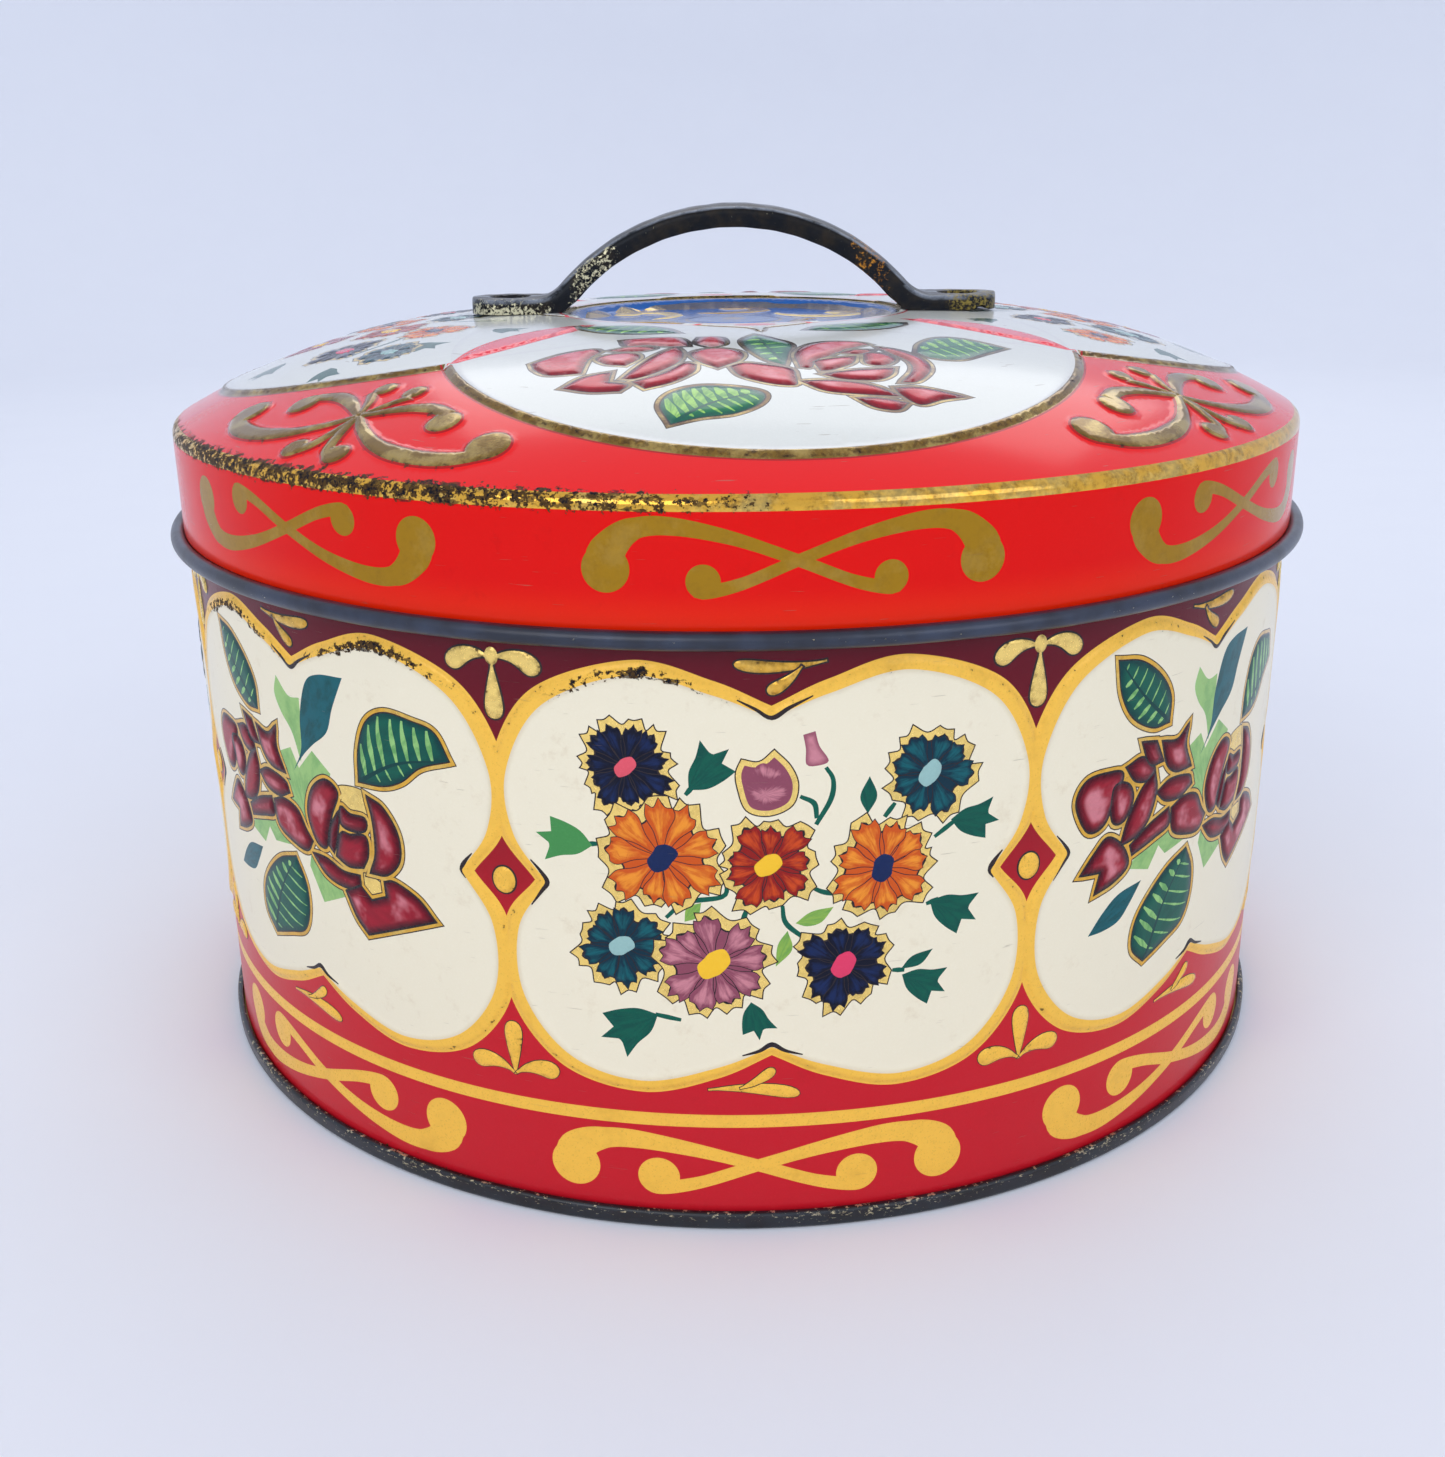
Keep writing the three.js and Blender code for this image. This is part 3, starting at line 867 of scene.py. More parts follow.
def posy(sheet):
    # the bunch of mixed flowers on every second panel
    for points in ([(-21.4, 73.5), (-21.2, 70)], [(-16, 55), (-13, 57.6), (-7.5, 58.6), (-6.6, 60.5)],
                   [(1.6, 57), (2.2, 54), (5.5, 51)], [(5.8, 60), (8, 58.9), (11.5, 58.4)],
                   [(-3.6, 57), (-4.6, 54)], [(8, 79), (9.1, 77), (8.8, 74), (6.6, 70)],
                   [(4.2, 74.6), (6.3, 73.4), (6.7, 71)], [(18.6, 72.6), (17, 70.5)],
                   [(-12.7, 75), (-11.5, 76.5)], [(25, 66.4), (28.5, 68.8)], [(18.8, 44.8), (20.8, 44.6)],
                   [(-14, 37.6), (-18, 38.4)], [(24, 55.4), (26, 56)], [(-26, 66.6), (-28, 66.4)]):
        stem(sheet, points)
    threePoint(sheet, -27, 66.2, 7.2, 172, "leafMid")
    threePoint(sheet, -12.2, 75.8, 7.0, 48)
    threePoint(sheet, 27.6, 68.9, 6.6, -8)
    threePoint(sheet, 24.6, 55.8, 7.2, -28)
    threePoint(sheet, 20.4, 43.8, 6.6, -28)
    threePoint(sheet, -3.2, 40.8, 5.4, -78)
    threePoint(sheet, -17.6, 38.4, 8.2, 208)
    for points in ([(20.2, 44.8, 1), (22, 46.8), (25.4, 47.6, 1), (23.4, 45.2)],
                   [(14.4, 71.2, 1), (13.2, 74), (14.6, 77.2, 1), (15.8, 74)]):
        sheet.lay(curve(points), "leaf", "leafDark", streak=0.5, heart=points[0][:2])
    for points in ([(-13.2, 54.4, 1), (-12.8, 56.8), (-10.6, 57.6, 1), (-11.2, 55.2)],
                   [(3.6, 54, 1), (6, 55.8), (9.4, 56.4, 1), (7.6, 54), (5.4, 53.4)],
                   [(0.6, 46.8, 1), (0.9, 50.4), (2.4, 52.8, 1), (3.1, 49.6)]):
        sheet.lay(curve(points), "leafLight", "leafMid", streak=0.5, heart=points[0][:2])
    bud = curve([(4.6, 84.2, 1), (6.4, 84.7, 1), (7, 82.4), (8.4, 80), (6.6, 79.3), (5.1, 79.6), (5, 82)])
    sheet.lay(bud, "mauve", "mauveDark", soft=1.0)
    cup = curve([(-5, 76.2), (-3.7, 72.6), (-0.4, 71.7), (3, 73.2), (3.9, 76.4), (2.8, 79.4),
                 (0.4, 82, 1), (-1.8, 80.2), (-4.4, 80.6, 1), (-5.2, 78.6)])
    inkLine(sheet, cup, 0.2, 0.4)
    sheet.lay(cup, "goldPale", foil=0.7)
    sheet.press(cup, 0.5, 1.1)
    sheet.lay(grow(cup, -0.8), "mauveDark")
    for points in ([(-3.2, 78.6, 1), (-1.2, 80), (1.8, 78.4), (2.2, 77.4, 1), (-0.8, 77.6)],
                   [(-4, 76.6, 1), (-1.6, 76.2), (1.8, 76.8, 1), (2.4, 75), (0.4, 73.6), (-2.2, 73.8)]):
        sheet.lay(curve(points), "mauve", "mauveDark", soft=0.9, streak=0.6, heart=(-1, 75))
        sheet.pillow(curve(points), 0.2, 1.0)
    blooms = (
        (-21.5, 79.2, 6.3, 11, ("navy", "navyDark", "salmon"), 3, 0.2, 0.24),
        (24.0, 77.0, 6.4, 8, ("teal", "tealDark", "tealPale"), 4, 0.5, 0.28),
        (-16.4, 64.9, 8.0, 9, ("orange", "orangeDark", "navy"), 5, 0.3, 0.27),
        (-23.0, 49.9, 6.2, 9, ("teal", "tealDark", "tealPale"), 6, 0.0, 0.28),
        (16.9, 62.3, 7.6, 9, ("orange", "orangeDark", "navy"), 7, 0.7, 0.27),
        (-0.5, 63.8, 6.4, 9, ("ember", "emberDark", "yellow"), 8, 0.1, 0.3),
        (11.1, 46.6, 6.6, 9, ("navy", "navyDark", "pink"), 9, 0.4, 0.3),
        (-8.8, 47.4, 7.7, 9, ("mauve", "mauveDark", "yellow"), 10, 0.2, 0.3),
    )
    for x, y, size, count, colours, seed, turn, heart in blooms:
        bloom(sheet, x, y, size, count, colours, seed, turn, heart)


def roseSpray(sheet):
    # two roses with ribbed leaves on the panels between
    for points in ([(-6.5, 71, 1), (-2.6, 72.6, 1), (-0.6, 69.4, 1), (3.6, 73.4, 1), (8, 70.4, 1),
                    (4, 60, 1), (-4, 60, 1)],
                   [(-21, 53.4, 1), (-15.4, 51.8, 1), (-13, 55.4, 1), (-11, 53.4, 1), (-3.6, 54.6, 1),
                    (-3, 60, 1), (-12, 60.5, 1)],
                   [(-0.2, 52, 1), (3, 46.2, 1), (8.8, 48.8, 1), (10, 54, 1), (1, 56, 1)],
                   [(-5, 84.6, 1), (-1.8, 81.8), (1.4, 82, 1), (1.2, 76), (0.2, 70.6, 1), (-1.6, 75.4),
                    (-4.4, 78.4), (-6, 81.4)]):
        sheet.lay(curve(points), "leafPale", "leafMid", streak=0.35, heart=(0, 60))
    for points in ([(-2.2, 68.6, 1), (0.6, 73), (1.2, 79), (3.5, 85), (7, 87), (13, 87.5, 1), (10, 82),
                    (8, 77.5), (4, 74.5), (1, 72)],
                   [(-29, 43.4, 1), (-26, 46.8), (-22.5, 49.3), (-17, 50.3, 1), (-19.5, 47), (-22, 44.4),
                    (-25.5, 43.5)]):
        sheet.lay(curve(points), "teal", "leafDark", streak=0.6, heart=points[0][:2])
    leafOf(sheet, [(-12.8, 77, 1), (-13, 81.5), (-16, 85.5), (-21, 88.7), (-26.2, 89.7, 1), (-25, 84),
                   (-22, 79.6), (-17, 77)])
    leafOf(sheet, [(14.8, 70.6, 1), (20, 70.9), (24, 72.4), (28, 75.4), (33.4, 77.2, 1), (31, 81.4),
                   (27, 82.6), (21.5, 83.2), (17.5, 81), (15.3, 76)], 0.6)
    leafOf(sheet, [(-14.8, 34.8, 1), (-9, 36.9), (-4, 38.9), (-1.9, 43), (-2, 48), (-4.4, 52.4, 1),
                   (-10, 50.4), (-15, 46.5), (-17.8, 42.5), (-18, 38)], 0.6)
    # gilt behind the heart of the right rose and in the fork below it
    for points in ([(8.6, 64.4), (8.8, 68), (12, 69.2), (16, 68.8), (17, 65.4), (12.6, 64)],
                   [(7, 52.2), (11, 55), (15.8, 54.4), (20, 52), (15.4, 48.8), (10, 50)]):
        inkLine(sheet, curve(points), 0.2, 0.4)
        sheet.lay(curve(points), "goldPale", foil=0.8)
        sheet.press(curve(points), 0.4, 1.1)
    petals(sheet, [
        [(-33.2, 67.4), (-31.4, 70.8), (-27, 71.3), (-23.6, 70.4), (-25.4, 66), (-27.4, 62.6),
         (-30.6, 62.4)],
        [(-22.6, 71.4, 1), (-19, 72.2), (-15.8, 69.6), (-17.4, 68.2), (-20.4, 68.8)],
        [(-19.2, 74.8, 1), (-15.8, 74.2, 1), (-13.8, 70.6, 1), (-17, 70.8)],
        [(-14, 73.8, 1), (-10, 73.2), (-6.9, 75.2, 1), (-7.3, 71.6), (-5.3, 67.6, 1), (-9.6, 67.8),
         (-12.4, 69.8)],
        [(-25.6, 68.6), (-22.2, 68.4), (-20.8, 65.6), (-22.6, 62.4), (-25.2, 63)],
        [(-22.8, 58.2, 1), (-21.3, 62.5), (-18.5, 66.8), (-15.6, 68.8, 1), (-14.9, 65.5), (-16.5, 61),
         (-19.5, 58.8)],
        [(-14.4, 65.2, 1), (-11, 66.5), (-5.6, 65.8), (-4.5, 64.2, 1), (-8, 62.8), (-12, 63.3)],
        [(-20.4, 57.4, 1), (-16, 59.8), (-11, 61.4, 1), (-10.6, 58.6), (-14.5, 57.3), (-19.8, 55.8, 1)],
        [(-28.6, 58), (-26, 60), (-22.6, 57.8), (-20.9, 54.2), (-24, 52), (-28, 50.9, 1), (-27, 54.5, 1),
         (-31.3, 54.9, 1)],
        [(-10, 61.2, 1), (-6.5, 62.3), (-2.5, 61.5), (-0.3, 58.5), (1.2, 56.9, 1), (-0.5, 54.9),
         (-4, 55.1), (-9, 57)],
        [(0.9, 61.8), (2.6, 66.4), (6.4, 68.9), (9.2, 67.4), (7.4, 63.5), (5.9, 59.6), (5, 56.9),
         (2.6, 57.4)],
        [(16.4, 68.2, 1), (19.6, 66.9), (22.2, 63), (22.2, 58.6), (19.4, 55.6), (15.9, 55.1, 1),
         (17.3, 58.6), (17.3, 64)],
        [(6.1, 57.4, 1), (7, 61), (9.3, 64.2, 1), (8.6, 61), (7.8, 58.3), (7, 56.6, 1)],
        [(9.6, 62.2), (9.9, 65), (12, 64.2), (15.3, 64.2), (15.1, 62.3), (12.2, 61.6)],
        [(7.8, 56, 1), (9.3, 60.2), (11.6, 60.5), (15.1, 61), (15.3, 58), (14, 55.6, 1), (10.6, 55)],
        [(1.4, 54.6, 1), (5, 54.6), (9, 53.4), (12.9, 53.6, 1), (12.6, 51.6), (9, 50.9), (4.6, 51.8)],
        [(9.5, 50, 1), (11.6, 46), (14, 43.6, 1), (20, 46), (28.5, 49.3, 1), (25.5, 52.4), (21, 54.3),
         (18.8, 53.9, 1), (19, 51.3, 1), (15.4, 49.8, 1), (13, 51.8, 1)],
    ], ("crimson", "crimsonDark"))
    crest = ribbon(curve([(9.8, 66.6), (11.2, 67.6), (12.4, 66.4), (13.6, 67.8), (15.2, 66.6)],
                         closed=False), (0.5, 0.9, 0.5))
    gilded(sheet, crest, "goldPale", 1.0, 0.55)


def onWall(spots, height):
    angle = spots[:, 0] / wallRadius
    radius = wallRadius + height
    return np.stack([radius * np.sin(angle), -radius * np.cos(angle), spots[:, 1]], 1)


def wallWear(spots, height):
    # rubbed most along the top, under the lid's edge, and a little along the foot
    top = np.clip((spots[:, 1] - 85) / 9, 0, 1)
    foot = np.clip((7 - spots[:, 1]) / 5, 0, 1)
    return np.clip(0.14 + 0.8 * top * (height > 0.36) + 0.35 * foot, 0, 1)


wallPaint = printedTin("wallPrint", printLook)
guides = [np.vstack([grow(bandEdge, -d), grow(bandEdge, -d)[:1]]) for d in (0.7, 1.5)]
wallPressings = {kind: Pressing(wallSheet(kind), 0.85, wallWear, guides) for kind in ("flower", "rose")}
wallPressings["seam"] = Pressing(wallSheet("flower", True), 0.85, wallWear, guides)
for k in range(8):
    kind = "seam" if k == 4 else "rose" if k % 2 else "flower"
    panel = buildSheet("wall_panel_%d" % (k + 1), wallPressings[kind], onWall, wallPaint,
                       wallArt["turn"] + 45 * k)
    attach(panel, "tin_body")
    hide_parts("body_wall")
    if k == 0:
        print("wall panel faces", len(panel.data.polygons))
print("wall printed")

lidArt = {
    "turn": 6.05,
    "skirtTurn": 4.7,        # three of the edge's steps behind the dome, so their corners meet
    "crest": 33.0,
    "shoulder": (edgeRadius - 3.66, crestHeight - 16.0),
    "skirt": edgeRadius - 2.51,
    "skirtLow": edgeLow + 2.6,
    "skirtTop": edgeLow + 20.15,
    "power": 2.5,
    "medalCentre": 45.2,
    "medalRadius": 52.6,
    "ringWidth": 1.6,
    "bow": 93.5,             # distance of the bow ornaments from the axis
}
shoulderRadius, shoulderHeight = lidArt["shoulder"]
skirtRadius = lidArt["skirt"]


def domeHeight(radius):
    share = np.clip((radius - lidArt["crest"]) / (shoulderRadius - lidArt["crest"]), 0, 2)
    return shoulderHeight + (crestHeight - shoulderHeight) * (1 - share**lidArt["power"])


def onDome(spots, height):
    radius = np.hypot(spots[:, 0], spots[:, 1])
    slope = (domeHeight(radius + 0.05) - domeHeight(radius - 0.05)) / 0.1
    lean = 1 / np.sqrt(1 + slope**2)
    out = spots / radius[:, None]
    flat = spots + out * (-slope * lean * height)[:, None]
    return np.stack([flat[:, 0], flat[:, 1], domeHeight(radius) + lean * height], 1)


def centreHeight(radius):
    # the recess in the middle of the lid, inside its rounded crest
    crown = np.clip((radius - 31.7) / 1.3, 0, 1)
    return crestHeight - 1.7 + 1.62 * eased((radius - 29.8) / 1.9) + 0.08 * np.sin(crown * math.pi / 2)


def onCentre(spots, height):
    radius = np.hypot(spots[:, 0], spots[:, 1])
    return np.stack([spots[:, 0], spots[:, 1], centreHeight(radius) + height], 1)


def onSkirt(spots, height):
    # up the skirt, then over the rounded shoulder to the foot of the dome
    angle = spots[:, 0] / skirtRadius
    flat = lidArt["skirtTop"] - lidArt["skirtLow"]
    over = np.clip((spots[:, 1] - flat) / 2.35, 0, 1.1)
    corner = (skirtRadius, shoulderHeight - 0.6)
    ends = ((skirtRadius, lidArt["skirtTop"]), corner, (shoulderRadius, shoulderHeight))
    weights = ((1 - over)**2, 2 * over * (1 - over), over**2)
    radius = sum(w * e[0] for w, e in zip(weights, ends))
    level = sum(w * e[1] for w, e in zip(weights, ends)) + np.minimum(spots[:, 1] - flat, 0)
    radius = radius + height * (1 - over * 0.6)
    return np.stack([radius * np.sin(angle), -radius * np.cos(angle), level + height * over], 1)


def bow(sheet, diagonal):
    # a bow of eight curling arms, crossed on the diagonal between two medallions
    def put(flat):
        angle = math.radians(diagonal) + flat[:, 0] / lidArt["bow"]
        radius = lidArt["bow"] + flat[:, 1]
        return np.stack([radius * np.sin(angle), -radius * np.cos(angle)], 1)

    made = []
    for side in (-1, 1):
        for path, widths, head in (
                ([(0, 0), (4.1, 3), (10, 6.2), (17, 7.9), (24, 7.8), (29.4, 5.8)],
                 (1.4, 2.0, 3.0, 3.2, 2.8), (28.2, 4.2, 3.3)),
                ([(0, 0), (6.5, -3.2), (12, -4.2), (17, -2.8)], (1.2, 2.2, 2.8, 2.4), (17.2, -0.9, 2.8)),
                ([(0, 0), (2.4, -4), (5, -6.8)], (1.0, 1.7, 1.9), (3.9, -8.4, 2.1)),
                ([(0, 0), (0.8, 4.6), (2.4, 8.6), (5.2, 10.4)], (1.0, 1.9, 2.1, 1.6), (4.6, 9.1, 2.1))):
            arm = ribbon(curve([(side * a, b) for a, b in path], closed=False), widths)
            made.append(put(arm))
            made.append(put(oval(side * head[0], head[1], head[2])))
    for outline in made:
        sheet.lay(grow(outline, 0.35), "lidRedDeep")
    for outline in made:
        sheet.lay(outline, "lidGold", foil=1.0)
        sheet.press(grow(outline, 0.9), 0.6, 1.6)


def domeSheet(kind, side):
    # half of one medallion, from its own middle line to the diagonal on one side
    inner, outer = lidArt["crest"], shoulderRadius
    arc = np.radians(np.linspace(0, 45 * side, 101))
    short = np.radians(np.linspace(45 * side, 0, 33))
    rungs = np.linspace(inner, outer, 92)
    edge = [(outer * math.sin(a), -outer * math.cos(a)) for a in arc]
    edge += [(r * math.sin(arc[-1]), -r * math.cos(arc[-1])) for r in rungs[::-1][1:-1]]
    edge += [(inner * math.sin(a), -inner * math.cos(a)) for a in short]
    edge += [(0, -r) for r in rungs[1:-1]]
    sheet = Sheet(np.array(edge))
    sheet.lay(oval(0, 0, 120, step=3), "lidRed")
    centre, radius, ring = lidArt["medalCentre"], lidArt["medalRadius"], lidArt["ringWidth"]
    for turn in (0, -90, 90):
        rim = shifted(oval(0, -centre, radius + ring, step=0.8), (0, 0), turn)
        sheet.lay(grow(rim, 0.35), "lidRedDeep")
        sheet.lay(rim, "lidGold", foil=1.0)
    for turn in (0, -90, 90):
        rim = shifted(oval(0, -centre, radius + ring, step=0.8), (0, 0), turn)
        face = shifted(oval(0, -centre, radius, step=0.8), (0, 0), turn)
        sheet.lay(face, "lidWhite", "lidShade", soft=2.0)
        sheet.press(rim, 0.6, 1.2)
    sheet.pillow(oval(0, -centre, radius + 0.3, step=0.8), -0.28, 1.2)
    # a lens of red where neighbouring medallions overlap
    for diagonal in (-45, 45):
        lens = shifted(curve([(0, -75, 1), (-3.4, -66), (-4.4, -57), (-3.4, -48), (0, -39, 1), (3.4, -48),
                              (4.4, -57), (3.4, -66)]), (0, 0), diagonal)
        sheet.lay(grow(lens, 0.4), "lidShade")
        sheet.lay(lens, "lens", "lidRed", soft=2.4)
        sheet.press(lens, 0.9, 1.6)
    # the inner cusp: a dark gilt wedge and a red spot by the crest
    wedge = curve([(-15, -28, 1), (-7, -35.5), (-1.6, -39.6), (0, -45, 1), (1.6, -39.6), (7, -35.5),
                   (15, -28, 1)])
    sheet.lay(grow(wedge, 0.9), "lidGold", foil=1.0)
    sheet.lay(wedge, "lidWhite", "lidShade", soft=2.0)
    spot = oval(0, -36.2, 3.4, 1.3)
    sheet.lay(grow(spot, 0.4), "lens")
    sheet.lay(spot, "lidRed")
    sheet.press(grow(wedge, 0.9), 0.8, 1.2)
    sheet.lay(oval(0, 0, inner + 1.5, step=0.8), "lens")
    sheet.lay(oval(0, 0, inner + 1.0, step=0.8), "lidWhite", "lidShade", soft=1.0)
    for diagonal in (-45, 45):
        bow(sheet, diagonal)
    if kind == "rose":
        lidRoses(sheet)
    else:
        lidPosy(sheet)
    return sheet


def lidRoses(sheet):
    # two large roses and their leaves on the front and back medallions
    back = lambda flat: shifted(flat, (0, 0), -lidArt["turn"])
    greens = ("lidLeaf", "leaf", "lidRib")
    leafOf(sheet, [(-9.3, -90.5, 1), (-5, -89), (0, -88), (3.8, -85), (4.3, -81.5), (0, -79.5),
                   (-5.5, -78.9), (-9.5, -81), (-11, -85)], 0.8, ribs=8, place=back, inkNames=greens,
                   rimInk="bronze")
    leafOf(sheet, [(7.9, -69.8, 1), (8.6, -64), (9.2, -57.5), (6.5, -53), (3.6, -48.5, 1), (1.6, -54),
                   (2.3, -60), (5, -67)], 0.6, ribs=6, place=back, inkNames=greens, rimInk="bronze")
    leafOf(sheet, [(29.8, -60, 1), (32, -62.5), (36.5, -62), (41, -57), (45, -52, 1), (39, -48),
                   (34.5, -48.3), (31, -54)], 0.7, ribs=6, place=back, inkNames=greens, rimInk="bronze")
    leafOf(sheet, [(-9.5, -45.5, 1), (-12, -39), (-16, -34.6), (-22, -33.6), (-27.5, -35, 1),
                   (-25.5, -39), (-22, -43), (-16, -45.6)], 0.7, ribs=6, place=back, inkNames=greens,
                   rimInk="bronze")
    leafOf(sheet, [(12.6, -43, 1), (18, -43.6), (25, -41), (29.5, -35.6), (30, -32, 1), (24, -32.6),
                   (18, -35), (14.4, -38.4)], 0.7, ribs=6, place=back, inkNames=greens, rimInk="bronze")
    petals(sheet, [
        [(-32.5, -63.5, 1), (-28, -59.5), (-23, -57.7), (-21.7, -59.7, 1), (-23.3, -63.5),
         (-24, -70.6, 1), (-29, -70.1), (-31.5, -67)],
        [(-18.5, -51.8, 1), (-13, -50.6), (-9.5, -51), (-8, -54.5), (-7.6, -58, 1), (-11, -57.8),
         (-14.5, -56.4), (-17.5, -56.4)],
        [(-5.5, -51, 1), (-2.3, -51.4), (-1.6, -57), (-3.8, -59.2, 1), (-6, -56)],
        [(-20.4, -59.2, 1), (-17, -57.6), (-13, -58.6), (-14.4, -60.4), (-18, -60.4)],
        [(-22, -63.5), (-19.5, -61.8), (-16, -62), (-15.2, -65), (-17.2, -68.4, 1), (-20.3, -67)],
        [(-17.2, -74.3, 1), (-15, -69), (-12.2, -63), (-9.4, -58.8, 1), (-8.3, -63), (-8.9, -68),
         (-12, -72.3), (-15.2, -74.6)],
        [(-6.8, -63.5), (-4.8, -60.7), (-1, -60.7), (1.3, -63.5), (0.8, -67.5), (-2.5, -71.2, 1),
         (-5.3, -68)],
        [(-15.6, -75.9, 1), (-11, -73), (-7.8, -68.6), (-6, -69.4, 1), (-6.4, -73), (-9.5, -76.8),
         (-13.5, -78.8, 1)],
        [(-26.4, -76.2, 1), (-23.5, -72.6), (-19.2, -71.2, 1), (-19.4, -75.5, 1), (-16.4, -77),
         (-17.5, -79.2, 1), (-22, -78.6)],
        [(10.4, -70.8, 1), (9.9, -64), (12, -58.2), (15.5, -55.2), (20.5, -54.9), (22.2, -56.2, 1),
         (18.4, -59.8), (15.6, -64), (13, -67), (12, -70.8)],
        [(23.3, -57.8, 1), (27, -59.7), (30.3, -64), (30.8, -69), (28.4, -74.2), (25.9, -75.2, 1),
         (28, -70), (27.8, -65.5), (25, -61)],
        [(12.6, -68.2, 1), (14, -66.8), (19.4, -64.2, 1), (18.6, -68), (15.6, -71.3), (13.6, -72.2, 1)],
        [(17, -62.6, 1), (19.4, -60.6), (22.6, -60, 1), (21, -62.2), (19.6, -63, 1)],
        [(21.4, -62.2), (24.4, -62.4), (25.6, -65), (23.8, -68.1), (21, -68), (20.9, -64.7)],
        [(13.8, -73.8, 1), (18, -71.7), (25.1, -69.4, 1), (24.4, -72.4), (22, -75), (17, -75.4)],
        [(-0.5, -70.6, 1), (1.6, -69), (4.5, -69.8), (8.8, -71.8), (9.5, -76, 1), (9.2, -78.4),
         (5.5, -77.9), (1.2, -75)],
        [(10.3, -76.9, 1), (15, -76.2), (21, -77.3), (25, -80.4, 1), (20, -80.7), (14, -80.2)],
        [(24.6, -77.7, 1), (28.5, -76.8), (35.2, -78.3, 1), (31.4, -80.3), (28, -82.6), (25.4, -80)],
        [(18.4, -82.2, 1), (22, -81.8), (26, -82.6, 1), (24.3, -85), (21, -84.7)],
    ], ("lidRose", "lidRoseDark"), place=back, halo=0.75, line=0.25, lit=0.5, rimInk="bronze")


def lidPosy(sheet):
    # the smaller mixed flowers on the two side medallions
    for points in ([(-30, -72), (-24, -66), (-16, -62)], [(30, -72), (24, -64), (16, -60)],
                   [(-4, -84), (-2, -74), (0, -64)], [(-14, -44), (-8, -54)], [(14, -44), (8, -54)]):
        stem(sheet, points, width=1.0)
    for x, y, size, turn in ((-31, -62, 7, 150), (31, -60, 7, 30), (-14, -84, 7, 215), (13, -85, 7, -40),
                             (-26, -46, 6, 130), (26, -46, 6, 40), (-34, -74, 6, 190), (35, -74, 6, -10)):
        threePoint(sheet, x, y, size, turn)
    for x, y, size, count, colours, seed, heart in (
            (-22, -72, 6.2, 9, ("teal", "tealDark", "tealPale"), 21, 0.34),
            (22, -73, 6.2, 10, ("navy", "navyDark", "pink"), 22, 0.3),
            (-8.5, -68, 6.8, 9, ("orange", "orangeDark", "navy"), 23, 0.32),
            (7.5, -66, 6.4, 9, ("ember", "emberDark", "yellow"), 24, 0.34),
            (-1, -80.5, 6.2, 9, ("mauve", "mauveDark", "yellow"), 25, 0.3),
            (-20, -56.5, 5.6, 10, ("navy", "navyDark", "salmon"), 26, 0.28),
            (19, -57, 6.0, 9, ("orange", "orangeDark", "navy"), 27, 0.32),
            (0, -53.5, 5.6, 8, ("teal", "tealDark", "tealPale"), 28, 0.34),
            (-34, -63, 5.4, 9, ("orange", "orangeDark", "navy"), 29, 0.3),
            (34, -64, 5.6, 8, ("teal", "tealDark", "tealPale"), 30, 0.3)):
        bloom(sheet, x, y, size, count, colours, seed, heart=heart, halo=0.8)


def domeWear(spots, height):
    edge = np.clip((np.hypot(spots[:, 0], spots[:, 1]) - 104.6) / 1.4, 0, 1)
    return np.clip(0.14 + 0.7 * edge, 0, 1)


def polarChart(spots):
    return np.stack([np.arctan2(spots[:, 0], -spots[:, 1]), np.hypot(spots[:, 0], spots[:, 1])], 1)


lidLook = dict(printLook, gloss=0.17, coat=0.42, shine=0.14, stain=0.12)
lidPaint = printedTin("lidPrint", lidLook)
skirtLook = dict(lidLook, coat=0.2, shine=0.04, stain=0.3)
skirtPaint = printedTin("skirtPrint", skirtLook)


def finishLid(piece):
    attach(piece, "lid")
    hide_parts("lid_shell")


for kind in ("rose", "flower"):
    for side in (-1, 1):
        pressing = Pressing(domeSheet(kind, side), 0.85, domeWear)
        for k in ((0, 2) if kind == "rose" else (1, 3)):
            name = "lid_dome_%d%s" % (k + 1, "a" if side < 0 else "b")
            finishLid(buildSheet(name, pressing, onDome, lidPaint, lidArt["turn"] + 90 * k,
                                 unroll=polarChart))
print("lid dome printed")


def centreSheet():
    # the round recess: blue, with gilt scrolls round a small rosette
    sheet = Sheet(oval(0, 0, lidArt["crest"], step=2 * math.pi * lidArt["crest"] / 256))
    sheet.lay(oval(0, 0, 40, step=1), "lidWhite")
    sheet.lay(oval(0, 0, 32.1, step=0.7), "blue", "blueDark", soft=1.5)
    for k in range(6):
        comma = ribbon(curve([(-7, 14.5), (-2.5, 13.4), (3.2, 15.4), (6.2, 20), (4.6, 25.2),
                              (0.6, 26.6)], closed=False),
                       (0.8, 2.4, 3.8, 4.6, 4.8, 3.4))
        for flat in (comma, oval(0.9, 24.8, 3.2, 2.8)):
            placed = shifted(flat, (0, 0), 60 * k - 4)
            sheet.lay(placed, "goldPale" if k % 2 else "skirtGold", foil=0.1)
            sheet.press(grow(placed, 0.3), 0.3, 0.9)
    for radius, ink in ((9.6, "skirtGold"), (9.0, "blue"), (2.4, "skirtGold")):
        sheet.lay(oval(0, 0, radius), ink, foil=0.2 if ink == "skirtGold" else 0.0)
    sheet.pillow(oval(0, 0, 9.3), 0.2, 2.0)
    return sheet


centrePressing = Pressing(centreSheet(), 0.8, lambda spots, height: np.full(len(spots), 0.15))
centre = buildSheet("lid_centre", centrePressing, onCentre, lidPaint, lidArt["turn"])
finishLid(centre)


